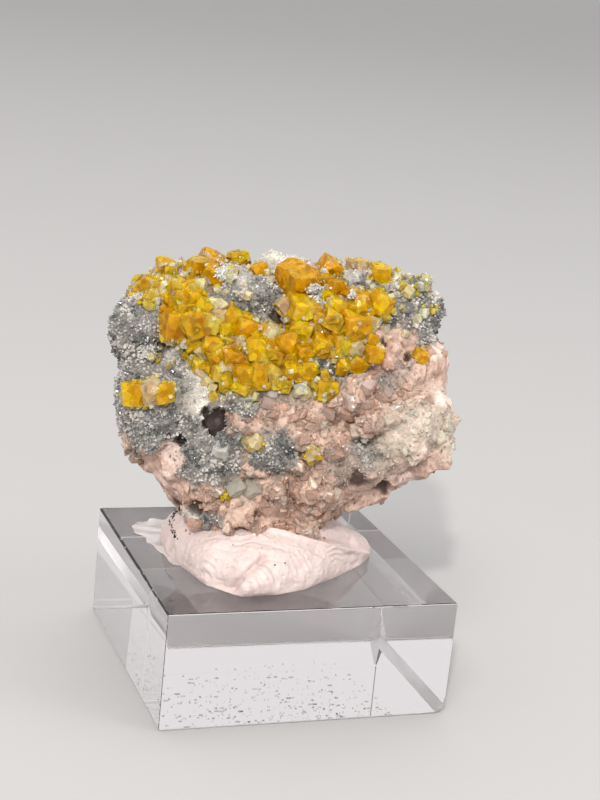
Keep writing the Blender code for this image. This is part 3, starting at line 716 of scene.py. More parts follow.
# The crystals that the frame holds: node, then across, up, edge, stretch, turn, tip, swing, tone
goldCrystals = {
    "chabazite_crust_corner": (
        (-15.4, 10.2, 1.5, 1.0, 40, 15, 20, "amber"), (-14.4, 10.8, 1.8, 1.0, 20, 25, -20, "amber"),
        (-13.3, 10.3, 1.9, 1.0, -10, 10, 30, "lemon"), (-14.0, 9.4, 1.7, 1.0, 35, 15, 10, "lemon"),
    ),
    "chabazite_crust": (
        (-12.2, 9.3, 1.6, 1.0, 5, 30, 25, "amber"), (-11.0, 9.3, 1.8, 1.0, 15, 10, -25, "amber"),
        (-10.3, 10.5, 1.6, 1.0, -20, 20, 15, "yellow"), (-9.6, 9.4, 1.8, 1.0, 10, 25, 35, "amber"),
        (-10.5, 8.3, 1.8, 1.0, 0, 35, 20, "yellow"), (-8.5, 8.4, 1.6, 1.0, 40, 20, -15, "yellow"),
        (-11.6, 6.6, 3.0, 1.0, 12, 22, 28, "deep"), (-9.6, 6.6, 2.4, 1.0, -15, 30, 10, "deep"),
        (-8.1, 6.8, 1.9, 1.0, 25, 15, 35, "lemon"), (-6.9, 7.4, 1.8, 1.0, 5, 25, -20, "peach"),
        (-5.4, 7.3, 2.0, 1.0, 40, 20, 15, "amber"), (-6.3, 6.1, 1.5, 1.0, -5, 15, 30, "yellow"),
        (-9.7, 4.8, 1.6, 1.0, 15, 20, 20, "amber"), (-7.7, 4.3, 2.0, 1.0, 8, 12, 14, "yellow"),
        (-6.3, 4.8, 1.4, 1.0, 20, 30, 20, "lemon"), (-12.2, 5.2, 1.3, 1.0, 30, 20, 20, "cream"),
        (1.6, 11.2, 3.8, 1.0, 20, 36, 40, "deep"), (4.2, 10.9, 2.2, 1.0, 10, 20, 20, "deep"),
        (5.6, 10.4, 2.1, 1.0, 5, 15, 42, "deep"),
        (0.4, 8.3, 1.6, 1.4, -30, 20, 10, "peach"), (2.1, 8.0, 2.9, 1.0, 18, 30, 25, "yellow"),
        (3.6, 7.1, 1.8, 1.0, 0, 20, 35, "amber"), (5.3, 7.2, 2.0, 1.0, 30, 15, 20, "yellow"),
        (6.0, 8.4, 1.9, 1.0, 15, 28, 38, "amber"), (7.3, 9.6, 1.7, 1.0, -25, 20, 20, "deep"),
        (8.5, 8.9, 2.3, 1.0, 10, 25, 30, "yellow"), (10.5, 8.7, 2.4, 1.0, 35, 20, -20, "amber"),
        (7.7, 6.3, 2.7, 1.0, 5, 25, 25, "amber"), (9.6, 6.9, 1.3, 1.0, 20, 15, 10, "cream"),
        (1.8, 6.0, 2.2, 1.2, 25, 35, 10, "yellow"), (0.3, 4.6, 2.5, 1.0, -12, 20, 30, "deep"),
        (-1.2, 5.5, 2.0, 1.0, 38, 25, 15, "cream"), (-4.0, 6.1, 2.1, 1.0, 20, 15, 30, "deep"),
        (-2.9, 3.9, 2.1, 1.1, 2, 14, 18, "amber"), (-4.6, 4.6, 1.4, 1.0, 30, 25, 20, "peach"),
        (4.0, 4.5, 2.1, 1.0, 30, 30, 20, "yellow"), (6.0, 4.7, 1.6, 1.0, 10, 15, 35, "amber"),
        (7.7, 4.0, 1.6, 1.0, -20, 25, 15, "cream"), (9.5, 4.9, 1.5, 1.0, 25, 10, 30, "amber"),
        (9.8, 3.4, 1.6, 1.0, 15, 20, 30, "amber"), (8.0, 2.4, 1.8, 1.0, 40, 20, 20, "yellow"),
        (5.6, 3.3, 1.3, 1.0, 5, 25, 15, "lemon"), (2.2, 3.6, 1.8, 1.0, 5, 30, 30, "amber"),
        (-1.1, 3.2, 1.8, 1.0, 25, 20, 10, "amber"), (-5.6, 3.0, 1.9, 1.0, 15, 25, 25, "amber"),
        (-7.4, 3.0, 1.6, 1.0, -10, 30, 15, "amber"), (-9.0, 2.2, 1.6, 1.0, 20, 20, 30, "yellow"),
        (-6.9, 1.4, 1.7, 1.0, 8, 20, 20, "lemon"), (-4.3, 1.3, 2.0, 1.0, 8, 20, 20, "yellow"),
        (-2.8, 0.9, 1.7, 1.5, 12, 15, 25, "amber"), (-1.0, 1.4, 1.7, 1.0, 35, 25, 15, "lemon"),
        (0.9, 1.7, 1.8, 1.0, 10, 35, 20, "yellow"), (2.6, 1.3, 1.5, 1.6, 0, 10, 20, "amber"),
        (0.0, 0.1, 1.4, 1.0, 20, 20, 20, "yellow"),
    ),
    "chabazite_peak": (
        (-7.8, 13.0, 2.9, 1.0, 36, 18, 22, "deep"), (-9.2, 12.5, 2.5, 1.0, 12, 20, 35, "amber"),
        (-7.6, 11.8, 2.6, 1.0, 40, 30, 15, "deep"),
    ),
    "chabazite_top_left": ((-12.6, 12.8, 1.9, 1.0, 10, 35, 30, "amber"),),
    "chabazite_top_cube": ((-4.8, 13.5, 2.0, 1.0, -4, 12, 14, "amber"),),
    "chabazite_top_dark": ((-2.3, 11.9, 1.5, 1.8, -24, 25, 20, "deep"),),
    "chabazite_top_roof": ((5.0, 12.7, 2.1, 1.0, 38, 20, 30, "deep"),),
    "chabazite_top_cream": ((8.3, 12.6, 2.2, 1.0, 8, 18, 40, "peach"),),
    "chabazite_top_right": ((10.5, 12.0, 1.9, 1.1, 12, 30, 20, "amber"),),
    "chabazite_left_pair": (
        (-16.2, -0.9, 2.4, 1.0, 2, 12, 12, "amber"), (-14.0, -0.6, 2.3, 1.0, 24, 32, 38, "peach"),
        (-13.0, -0.9, 2.0, 1.0, -10, 10, 20, "amber"),
    ),
    "chabazite_lower_square": ((4.7, -0.5, 2.1, 1.0, 6, 14, 10, "amber"),),
    "chabazite_far_right": ((14.8, 3.1, 1.4, 1.0, 30, 30, 30, "amber"),),
    "chabazite_pale_lower": ((-3.3, -6.2, 1.5, 1.0, -35, 20, 25, "cream"),),
    "chabazite_pale_right": ((3.0, -7.4, 1.4, 1.0, 30, 20, 15, "cream"),),
}


def goldMiddle(tree, across, up, edge, shown):
    # a crystal's middle: on the rock, drawn toward the sight line and the eye
    spot, _ = sightHit(tree, across, up)
    target = faceMatrix @ Vector((across * mm, 0.0, up * mm))
    sight = (target - eyePoint).normalized()
    over = eyePoint + sight * (spot - eyePoint).dot(sight) - spot
    if over.length > 0.45 * edge:
        over = over.normalized() * 0.45 * edge
    return spot + over - sight * edge * shown


def tintOf(chooser, tone, low, high, brightest=0.97):
    return np.clip(np.array(goldTones[tone]) * chooser.uniform(low, high), 0, brightest)


goldShape = {
    "cuts": 8,
    "swell": (0.06, 0.22),
    "roundness": 0.64,
    "rimFrom": 0.22,
    "rimWidth": 0.28,
    "terrace": 0.06,
    "terraceScale": 2.3,
    "terraces": 3.0,
    "cornersCut": (2, 4),
    "cutAt": (0.54, 0.66),
    "twinShare": 0.2,
    "twinSize": 0.88,
    "squat": 0.93,
    "shown": 0.22,
    "sharp": 24.0,  # degrees
}
threefold = Vector((1.0, 1.0, 1.0)).normalized()


def goldCrystal(chooser, cuts=goldShape["cuts"]):
    # a squat cube with swollen, stepped faces and some corners cut off, now and then twinned
    bm = bmesh.new()
    bm.verts.layers.float.new("rim")
    twinned = chooser.random() < goldShape["twinShare"]
    terraces = goldShape["terraces"]
    for body in range(2 if twinned else 1):
        part = bmesh.new()
        bmesh.ops.create_cube(part, size=1.0)
        bmesh.ops.subdivide_edges(part, edges=part.edges[:], cuts=cuts, use_grid_fill=True)
        rim = part.verts.layers.float.new("rim")
        start = Vector([chooser.uniform(-50, 50) for _ in range(3)])
        swell = chooser.uniform(*goldShape["swell"])
        for vert in part.verts:
            spot = vert.co.copy()
            order = sorted(range(3), key=lambda i: -abs(spot[i]))
            # the rim mask: how near an edge a point lies, for the pale rims that are partly painted light
            nearEdge = (abs(spot[order[1]]) - goldShape["rimFrom"]) / goldShape["rimWidth"]
            vert[rim] = min(1.0, max(0.0, nearEdge))
            height = noise.noise(spot * goldShape["terraceScale"] + start) + 1.0
            level = math.floor(height * terraces) / terraces - 1.0
            vert.co = spot.lerp(spot.normalized() * goldShape["roundness"], swell)
            vert.co[order[0]] += math.copysign(goldShape["terrace"] * level, spot[order[0]])
        for _ in range(chooser.randint(*goldShape["cornersCut"])):
            corner = randomCorner(chooser, 0.35)
            cutAway(part, corner.normalized() * chooser.uniform(*goldShape["cutAt"]), corner)
        squat = Matrix.Scale(goldShape["squat"], 4, threefold)
        if body:
            turned = Matrix.Rotation(math.radians(60.0), 4, threefold)
            squat = turned @ squat @ Matrix.Scale(goldShape["twinSize"], 4)
        bmesh.ops.transform(part, matrix=squat, verts=part.verts)
        mesh = bpy.data.meshes.new("part")
        part.to_mesh(mesh)
        part.free()
        bm.from_mesh(mesh)
        bpy.data.meshes.remove(mesh)
    return shapeArrays(bm)


def crystalTurn(*degrees):
    turn, tip, swing = (Matrix.Rotation(math.radians(angle), 4, axis) for angle, axis in zip(degrees, "YXZ"))
    return turn @ tip @ swing


def makeGold(tree, material):
    chooser = random.Random(77)
    turnToFace = faceMatrix.to_3x3().to_4x4()
    pieces = []
    for node, crystals in goldCrystals.items():
        shapes, placings = [], []
        for across, up, edge, stretch, turn, tip, swing, tone in crystals:
            middle = goldMiddle(tree, across, up, edge * mm, goldShape["shown"])
            shapes.append(goldCrystal(chooser))
            size = Matrix.Diagonal((edge * mm, edge * mm, edge * stretch * mm, 1.0))
            matrix = Matrix.Translation(middle) @ turnToFace @ crystalTurn(turn, tip, swing) @ size
            placings.append((len(shapes) - 1, matrix, tintOf(chooser, tone, 0.85, 1.12)))
        name = node.replace("chabazite", "golden")
        piece = setOut(name, shapes, placings, material, goldShape["sharp"])
        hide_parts(node)
        pieces.append(piece)
    return pieces


goldGrains = {
    "count": 3200,
    "forms": ((1.0, 1.0), (0.8, 1.15), (1.2, 0.75)),  # width, depth
    "height": 0.9,
    "size": (0.26, 0.75),  # mm
    "reach": 0.40,  # mm from the rock within which they crowd
    "tried": 2.2,  # times the count
    "tones": ("cream", "lemon", "white", "yellow", "cream", "peach"),
}


def makeGoldGrains(tree, pieces, material):
    # the small pale crystals that crowd round the big ones and sit on them
    shapes = []
    for width, depth in goldGrains["forms"]:
        bm = bmesh.new()
        bmesh.ops.create_cube(bm, size=1.0, matrix=Matrix.Diagonal((width, depth, goldGrains["height"], 1.0)))
        softenEdges(bm, 0.09)
        shapes.append(shapeArrays(bm))
    chooser = random.Random(55)
    areas = [sum(f.area for f in piece.data.polygons) for piece in pieces]
    placings = []
    for number, (piece, area) in enumerate(zip(pieces, areas)):
        wanted = int(goldGrains["count"] * goldGrains["tried"] * area / sum(areas)) + 12
        spots, outward, _ = skinSamples(piece, np.ones(len(piece.data.vertices)), wanted, 700 + number)
        clumps = noiseAt(spots, 1.3, 2, 8.0)
        for spot, normal, clump in zip(spots, outward, clumps):
            away = tree.find_nearest(Vector(spot))[3]
            if chooser.random() > math.exp(-away / (goldGrains["reach"] * mm)) * (1.0 + 1.5 * clump):
                continue
            size = chooser.uniform(*goldGrains["size"]) * mm * chooser.uniform(0.6, 1.0)
            turned = randomTurn(chooser)
            tint = tintOf(chooser, chooser.choice(goldGrains["tones"]), 0.8, 1.1, 0.95)
            middle = Vector(spot) + Vector(normal) * size * 0.05
            matrix = Matrix.Translation(middle) @ turned @ Matrix.Scale(size, 4)
            placings.append((chooser.randrange(len(shapes)), matrix, tint))
    setOut("paleGoldGrains", shapes, placings, material)


# Small golden crystals in patches: pixel x, y, radius, how many, edge in mm, tones
smallGold = (
    (145, 288, 17, 40, 1.0, ("amber", "lemon", "yellow")),
    (170, 285, 13, 26, 0.9, ("lemon", "cream", "yellow")),
    (190, 290, 16, 42, 1.1, ("yellow", "amber", "lemon", "cream")),
    (180, 318, 16, 22, 1.1, ("amber", "deep", "cream")),
    (208, 318, 16, 30, 1.0, ("lemon", "cream", "yellow")),
    (196, 345, 20, 30, 0.9, ("yellow", "lemon", "white")),
    (215, 362, 18, 44, 1.1, ("amber", "yellow", "peach")),
    (240, 372, 22, 52, 1.1, ("yellow", "lemon", "amber")),
    (240, 335, 16, 26, 1.0, ("yellow", "amber", "cream")),
    (262, 350, 18, 40, 1.1, ("amber", "yellow", "deep")),
    (275, 372, 16, 32, 1.0, ("yellow", "lemon", "white")),
    (300, 350, 22, 46, 1.1, ("amber", "yellow", "deep")),
    (305, 322, 18, 34, 1.2, ("yellow", "amber", "deep")),
    (330, 335, 20, 42, 1.1, ("amber", "yellow", "lemon")),
    (345, 352, 18, 32, 1.0, ("yellow", "amber", "cream")),
    (355, 322, 18, 34, 1.1, ("amber", "deep", "yellow")),
    (372, 302, 16, 32, 1.0, ("amber", "yellow", "lemon")),
    (340, 300, 18, 28, 1.0, ("yellow", "cream", "amber")),
    (316, 380, 18, 34, 0.9, ("yellow", "lemon", "amber")),
    (395, 285, 26, 30, 0.6, ("lemon", "white", "cream")),
    (425, 300, 18, 14, 0.5, ("lemon", "white")),
    (245, 285, 26, 18, 0.6, ("lemon", "cream", "white")),
    (160, 360, 16, 12, 0.6, ("lemon", "cream")),
    (215, 385, 12, 10, 0.7, ("lemon", "cream", "yellow")),
    (222, 494, 3, 3, 0.8, ("deep", "amber")),
    (400, 300, 34, 70, 0.75, ("white", "cream", "lemon", "white")),
    (215, 278, 20, 26, 0.8, ("white", "cream")),
    (206, 321, 9, 16, 1.1, ("cream", "white")),
    (271, 335, 7, 16, 1.0, ("cream", "white", "lemon")),
    (378, 320, 5, 8, 0.9, ("white", "peach")),
    (350, 358, 8, 9, 1.0, ("peach", "white", "cream")),
    (299, 391, 7, 7, 1.0, ("cream", "white")),
    (240, 350, 6, 7, 1.1, ("peach", "cream")),
    (330, 305, 9, 9, 1.0, ("cream", "lemon", "white")),
    (165, 276, 10, 14, 0.9, ("cream", "white")),
    (250, 392, 16, 12, 0.9, ("white", "cream")),
)
smallGoldMix = {
    "forms": 12,
    "cuts": 2,
    "kept": 0.82,
    "size": (0.42, 1.05, 1.6),  # the least, the range and the bend of the chances
    "gap": (0.25, 0.9),
    "raised": 0.18,
}


def makeSmallGold(tree, material, gapAt, gapTree):
    chooser = random.Random(301)
    shapes = [goldCrystal(chooser, smallGoldMix["cuts"]) for _ in range(smallGoldMix["forms"])]
    least, more, bend = smallGoldMix["size"]
    placings = []
    for x, y, radius, count, edge, tones in smallGold:
        for _ in range(int(smallGoldMix["kept"] * count)):
            angle, away = chooser.uniform(0, math.tau), radius * math.sqrt(chooser.random())
            across, up = faceSpot(x + away * math.cos(angle), y + away * math.sin(angle))
            size = edge * (least + more * chooser.random() ** bend) * mm
            spot, normal = sightHit(tree, across, up)
            # no crystals where the rock carries the painted shade of the gaps
            if gapAt[gapTree.find(spot)[1]] > chooser.uniform(*smallGoldMix["gap"]):
                continue
            turned = randomTurn(chooser)
            middle = spot + normal * size * smallGoldMix["raised"]
            matrix = Matrix.Translation(middle) @ turned @ Matrix.Scale(size, 4)
            tint = tintOf(chooser, chooser.choice(tones), 0.85, 1.1)
            placings.append((chooser.randrange(len(shapes)), matrix, tint))
    setOut("smallGoldenCrystals", shapes, placings, material, goldShape["sharp"])


quartz = {
    "count": 20500,
    "perPiece": 6900,
    "forms": ((6, 0.40, 0.7, 0.55), (6, 0.30, 0.5, 0.5), (5, 0.36, 0.6, 0.4), (4, 0.42, 0.8, 0.35)),
    "size": (0.18, 0.43),  # mm, across a crystal
    "height": (0.55, 1.25),
    "large": (0.06, 1.7),  # their share, and how many times as large
    "lean": 0.6,
    "cloudSize": 1.9,  # mm
    "light": (0.42, 1.0),
    "dark": (0.150, 0.160, 0.158),
    "pale": (0.92, 0.865, 0.82),
    "whiteTint": (0.79, 0.75, 0.685),
    "goldTint": (0.80, 0.68, 0.30),
}


def quartzShapes():
    # each form: sides, radius at the top, height, height of the tip
    shapes = []
    for sides, top, height, tip in quartz["forms"]:
        bm = bmesh.new()
        bmesh.ops.create_cone(bm, cap_ends=True, segments=sides, radius1=0.5, radius2=top, depth=height)
        cap = max(bm.faces, key=lambda f: f.calc_center_median().z)
        bmesh.ops.poke(bm, faces=[cap], offset=tip)
        shapes.append(shapeArrays(bm))
    return shapes


def makeQuartz(rockObject, weights, material):
    shapes = quartzShapes()
    chooser = random.Random(9)
    zones = byZone(weights)
    share = sum(zones[name] for name in ("grey", "white", "gap"))
    share += 1.1 * zones["gold"] + 0.04 * zones["green"]
    share += 0.03 * zones["pink"]
    share *= (1.0 - zones["brown"] - zones["blush"]) ** 3
    spots, outward, nearest = skinSamples(rockObject, share, quartz["count"], 12)
    stonyAt = np.clip(1.5 * (1.0 - zones["grey"] - zones["white"] - zones["gold"] - zones["gap"]), 0.0, 1.0)
    stoneTints = 1.15 * weights @ zoneTints
    clouds = noiseAt(spots, quartz["cloudSize"], 3, 5.0)
    dark, pale, whiteTint, goldTint = (
        np.array(quartz[key]) for key in ("dark", "pale", "whiteTint", "goldTint")
    )
    largeShare, largeSize = quartz["large"]
    middleLight, contrast = quartz["light"]
    placings = []
    for spot, normal, vert, cloud in zip(spots, outward, nearest, clouds):
        white, stony = zones["white"][vert], stonyAt[vert]
        lean = randomVector(chooser) * quartz["lean"] * chooser.random()
        axis = (Vector(normal) + lean).normalized()
        size = chooser.uniform(*quartz["size"]) * mm * (1.0 - 0.3 * white)
        if chooser.random() < largeShare:
            size *= largeSize
        height = size * chooser.uniform(*quartz["height"]) * (1.0 - 0.45 * white)
        light = min(1.0, max(0.0, middleLight + contrast * cloud + chooser.uniform(-0.3, 0.42)))
        tint = dark * (1 - light) + pale * light
        tint = tint * (1 - white) + whiteTint * white
        tint = tint * (1 - stony) + stoneTints[vert] * chooser.uniform(0.8, 1.25) * stony
        golden = 0.34 * zones["gold"][vert] * chooser.random() * 1.6
        tint = tint * (1 - golden) + goldTint * golden
        turn = pointing(axis) @ Matrix.Rotation(chooser.uniform(0, 6.3), 4, "Z")
        matrix = Matrix.Translation(Vector(spot)) @ turn @ Matrix.Diagonal((size, size, height, 1.0))
        placings.append((chooser.randrange(len(shapes)), matrix, np.clip(tint, 0.02, 0.95)))
    for number, start in enumerate(range(0, len(placings), quartz["perPiece"])):
        piece = placings[start:start + quartz["perPiece"]]
        setOut(f"quartzDruse{number + 1}", shapes, piece, material)


pinkCrystals = {
    "count": 1900,
    "forms": 6,
    "size": (0.38, 1.45),  # mm
    "sizeBend": 2.4,
    "sunk": 0.24,
    "brownShare": 0.85,
    "brown": (0.70, 0.475, 0.38),
    "clear": (0.80, 0.62, 0.51),
    "green": (0.74, 0.68, 0.57),
}


def blockShapes():
    chooser = random.Random(4)
    shapes = []
    for _ in range(pinkCrystals["forms"]):
        bm = bmesh.new()
        bmesh.ops.create_cube(bm, size=1.0)
        lean = Matrix.Shear("XY", 3, (chooser.uniform(-0.4, 0.4), chooser.uniform(-0.4, 0.4)))
        bmesh.ops.transform(bm, matrix=lean.to_4x4(), verts=bm.verts)
        stretch = Vector((1.0, chooser.uniform(0.55, 1.0), chooser.uniform(0.7, 1.3)))
        bmesh.ops.scale(bm, vec=stretch, verts=bm.verts)
        for _ in range(2):
            corner = randomCorner(chooser, 0.4).normalized()
            cutAway(bm, corner * 0.48, corner)
        softenEdges(bm, 0.09)
        shapes.append(shapeArrays(bm))
    return shapes


def makePinkCrystals(rockObject, tree, weights, material):
    shapes = blockShapes()
    chooser = random.Random(19)
    zones = byZone(weights)
    share = zones["pink"] ** 2 + 0.12 * zones["green"]
    share += 0.05 * zones["rosy"]
    for name in ("grey", "white"):
        share *= 1.0 - np.minimum(1.0, 1.3 * zones[name])
    share *= 1.0 - zones["gold"]
    for near in flatsNear(pointsOf(rockObject.data), tree):
        share *= 1.0 - 0.93 * near
    spots, outward, nearest = skinSamples(rockObject, share, pinkCrystals["count"], 31)
    clouds = noiseAt(spots, 3.0, 2, 9.0)
    brown, clear, greenTint = (np.array(pinkCrystals[key]) for key in ("brown", "clear", "green"))
    low, high = pinkCrystals["size"]
    placings = []
    for spot, normal, vert, cloud in zip(spots, outward, nearest, clouds):
        green = zones["green"][vert]
        size = (low + (high - low) * chooser.random() ** pinkCrystals["sizeBend"]) * mm
        turned = randomTurn(chooser)
        middle = Vector(spot) - Vector(normal) * size * pinkCrystals["sunk"]
        pinkBrown = brown * (0.9 + 0.25 * cloud) * chooser.uniform(0.82, 1.15)
        isBrown = chooser.random() < pinkCrystals["brownShare"]
        tint = pinkBrown if isBrown else clear * chooser.uniform(0.85, 1.1)
        tint = tint * (1 - green) + greenTint * green
        matrix = Matrix.Translation(middle) @ turned @ Matrix.Scale(size, 4)
        placings.append((chooser.randrange(len(shapes)), matrix, np.clip(tint, 0.03, 0.92)))
    setOut("pinkCrystals", shapes, placings, material)


# White needle tufts: pixel x, y, radius in pixels, how many
tufts = ((319, 293, 8, 150), (311, 289, 4, 60), (222, 272, 7, 90), (146, 350, 10, 90), (352, 294, 4, 20))

# Lone clear crystals: pixel x, y, edge in mm, tint
clearCrystals = (
    (220, 451, 1.6, (0.96, 0.95, 0.86)), (242, 384, 1.3, (0.88, 0.80, 0.58)),
    (236, 486, 2.1, (0.74, 0.71, 0.62)), (250, 489, 1.8, (0.76, 0.72, 0.63)),
    (268, 402, 1.4, (0.80, 0.66, 0.58)), (352, 404, 1.5, (0.76, 0.60, 0.52)),
    (368, 386, 1.4, (0.78, 0.62, 0.55)), (330, 412, 1.4, (0.68, 0.50, 0.42)),
    (386, 394, 1.2, (0.76, 0.60, 0.53)), (274, 392, 1.2, (0.86, 0.78, 0.72)),
    (246, 398, 1.3, (0.84, 0.84, 0.76)), (300, 470, 1.4, (0.78, 0.64, 0.54)),
)

tuftShape = {
    "lean": 0.55,
    "toEye": 0.5,
    "width": (0.18, 0.32),  # mm
    "length": (0.25, 0.52),
    "raised": 0.2,
    "forward": 0.25,  # mm
    "tint": (0.88, 0.87, 0.83),
}
clearShape = {
    "cuts": 6,
    "width": (0.7, 1.0),
    "height": 0.8,
    "sunk": 0.06,
}


def makeTufts(tree, material):
    shapes = quartzShapes()
    chooser = random.Random(131)
    placings = []
    for x, y, radius, count in tufts:
        for _ in range(count):
            across, up = faceSpot(x + chooser.gauss(0, radius / 2), y + chooser.gauss(0, radius / 2))
            spot, normal = sightHit(tree, across, up)
            lean = randomVector(chooser, tuftShape["lean"])
            toEye = (eyePoint - spot).normalized() * tuftShape["toEye"]
            axis = (normal + lean + toEye).normalized()
            width, length = (chooser.uniform(*tuftShape[key]) * mm for key in ("width", "length"))
            middle = spot + axis * length * tuftShape["raised"] + toEye * tuftShape["forward"] * mm
            size = Matrix.Diagonal((width, width, length, 1.0))
            matrix = Matrix.Translation(middle) @ pointing(axis) @ size
            tint = np.array(tuftShape["tint"]) * chooser.uniform(0.85, 1.05)
            placings.append((chooser.randrange(len(shapes)), matrix, np.clip(tint, 0, 0.95)))
    setOut("whiteTufts", shapes, placings, material)


def makeClearCrystals(tree, material):
    chooser = random.Random(147)
    shapes, placings = [], []
    for x, y, edge, tint in clearCrystals:
        spot, normal = sightHit(tree, *faceSpot(x, y))
        shapes.append(goldCrystal(chooser, clearShape["cuts"]))
        turned = randomTurn(chooser)
        width = edge * mm * chooser.uniform(*clearShape["width"])
        height = edge * mm * clearShape["height"]
        middle = spot - normal * clearShape["sunk"] * edge * mm
        matrix = Matrix.Translation(middle) @ turned @ Matrix.Diagonal((edge * mm, width, height, 1.0))
        placings.append((len(shapes) - 1, matrix, np.array(tint)))
    setOut("clearCrystals", shapes, placings, material, goldShape["sharp"])


putty = {
    "outline": (
        (-7.2, -12.2), (-3.0, -12.0), (0.4, -10.8), (5.2, -7.6), (9.0, -4.6), (11.5, -1.6), (11.2, 2.4),
        (8.4, 6.4), (3.0, 8.4), (-3.4, 9.0), (-8.6, 8.2), (-11.4, 5.4), (-11.9, 0.8), (-11.2, -3.8),
        (-10.2, -8.6),
    ),  # mm on the block's top
    "height": 6.6,
    "thinSide": 32.0,  # degrees
    "thinness": 0.62,
    "grid": 0.13,
    "smoothing": 6,
    # depth in mm, size in mm, octaves and shift of the noise
    "waves": ((0.16, 3.2, 2, 0.0), (0.07, 0.9, 4, 4.0), (0.035, 0.4, 2, 5.0)),
    "dimples": 0.10,
    "tint": (0.70, 0.575, 0.545),
    "ridgeSpacing": 0.46,
    "ridgeDepth": 0.09,
    "ridgeWander": 0.12,
}

# Where the putty is shaped, by the picture's pixels
puttyLobes = (  # x, y, radius and push in mm
    (205, 552, 3.4, 0.45), (260, 581, 2.0, 0.85), (318, 566, 3.2, 0.30), (292, 546, 2.4, 0.22),
    (228, 536, 2.0, 0.20), (304, 590, 2.6, -0.60), (222, 590, 1.5, -0.45),
)
puttyCreases = (  # points along a crease, half width and depth in mm
    (((264, 558), (256, 566), (246, 574), (238, 582), (230, 592)), 0.42, -0.75),
    (((264, 558), (284, 560), (300, 570)), 0.40, -0.16),
    (((262, 562), (271, 569), (276, 582)), 0.26, -0.28),
    (((270, 531), (296, 538), (322, 545), (346, 550), (366, 553)), 0.32, 0.44),
    (((276, 524), (300, 530), (325, 536), (352, 541)), 0.55, -0.55),
    (((225, 533), (240, 538), (256, 534), (268, 539)), 0.15, 0.14),
    (((236, 545), (252, 541), (270, 545), (286, 552)), 0.14, -0.16),
    (((196, 556), (216, 550), (236, 552)), 0.14, -0.12),
    (((288, 548), (306, 552), (322, 562)), 0.15, 0.12),
    (((190, 548), (214, 541), (240, 541)), 0.20, -0.10),
    (((300, 553), (330, 556), (352, 555)), 0.24, -0.10),
)
puttyPrints = (  # a print's middle, radius in mm, and the pixel its ridges circle
    ((256, 583), 2.3, (232, 640)),
    ((334, 551), 1.9, (362, 590)),
    ((205, 566), 2.0, (150, 600)),
    ((300, 562), 1.8, (292, 520)),
)


def outlineReach(outline):
    # how far an outline reaches from its middle, by the angle
    corners = sorted((math.atan2(up, across), across, up) for across, up in outline)
    first, last = corners[0], corners[-1]
    corners.insert(0, (last[0] - math.tau, *last[1:]))
    corners.append((first[0] + math.tau, *first[1:]))

    def reach(angle):
        for (start, x0, z0), (end, x1, z1) in zip(corners, corners[1:]):
            if start <= angle <= end:
                run, climb = x1 - x0, z1 - z0
                return abs((x0 * climb - z0 * run) / (run * math.sin(angle) - climb * math.cos(angle)))
        return last[1]

    return reach


def makePutty():
    reach = outlineReach(putty["outline"])
    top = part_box("display_block")[1].z
    bm = bmesh.new()
    bmesh.ops.create_uvsphere(bm, u_segments=96, v_segments=48, radius=1.0)
    for vert in bm.verts:
        x, y, z = vert.co
        angle, flat = math.atan2(y, x), math.hypot(x, y)
        edge = reach(angle) * mm
        rise = 0.0
        if z > 0.0:
            # low and thin at the far right, full at the left and front
            farRight = max(0.0, math.cos(angle - math.radians(putty["thinSide"]))) ** 2
            thin = 1.0 - putty["thinness"] * farRight * float(smoothStep(0.30, 0.75, flat))
            rise = z ** 0.8 * putty["height"] * mm * thin
            flat = flat ** 0.85
        across, deep = math.cos(angle) * edge * flat, math.sin(angle) * edge * flat
        vert.co = Vector((across, deep, top + 0.02 * mm + rise))
    obj = evenSkin("puttyLump", bm, putty["grid"], putty["smoothing"])
    points, normals = pointsOf(obj.data), normalsOf(obj.data)
    tree = skinTree(obj)
    free = smoothStep(top + 0.06 * mm, top + 0.5 * mm, points[:, 2])
    push = np.zeros(len(points))
    for depth, *pattern in putty["waves"]:
        push += depth * noiseAt(points, *pattern)
    push -= putty["dimples"] * smoothStep(0.35, 0.7, noiseAt(points, 0.5, 1, 9.0))
    for x, y, radius, depth in puttyLobes:
        push += depth * np.exp(-((awayFrom(points, pixelHit(tree, x, y)) / radius) ** 2) * 1.6)
    for line, half, depth in puttyCreases:
        away = alongLine(points, [pixelHit(tree, x, y) for x, y in line]) / mm
        push += depth * np.exp(-((away / half) ** 2))
    for (x, y), radius, (farX, farY) in puttyPrints:
        ring = awayFrom(points, pixelOnTop(farX, farY, top))
        ring += putty["ridgeWander"] * noiseAt(points, 2.0, 2, 6.0)
        weight = smoothStep(radius, radius * 0.45, awayFrom(points, pixelHit(tree, x, y)))
        push += putty["ridgeDepth"] * weight * np.sin(math.tau * ring / putty["ridgeSpacing"])
    putPoints(obj.data, points + normals * (push * free * mm)[:, None])
    # a little random tone, and painted shade that follows the relief: the tint darkens where the skin is
    # pushed in, in creases, dimples and print grooves, and lightens where it is raised
    shade = 1 + 0.05 * noiseAt(points, 2.4, 2, 1.0) + 0.10 * np.clip(push, -0.5, 0.3)
    tintMesh(obj.data, np.clip(np.array(putty["tint"]) * shade[:, None], 0, 0.95))
    obj.data.shade_smooth()
    finish = speckled("whitePutty")
    grain = finish.pattern("Noise", 2600.0, in_Detail=8.0, in_Roughness=0.7)
    finish.bump(grain.outputs["Fac"], 0.9, 0.00016)
    obj.data.materials.append(finish.material)
    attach(obj, "root")
    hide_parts("mounting_putty")
    print("putty", len(obj.data.polygons), "faces")
    return obj


smear = {
    "outline": (
        (131, 527), (137, 521), (146, 523), (153, 517), (163, 520), (176, 520), (190, 530), (196, 546),
        (190, 558), (178, 566), (170, 564), (166, 556), (160, 554), (155, 546), (147, 543), (143, 535),
        (135, 534),
    ),  # the picture's pixels
    "thickness": 0.05,  # mm
    "lift": 0.01,
    "cuts": 5,
    "smoothing": 9,
    "ragged": 0.14,
}


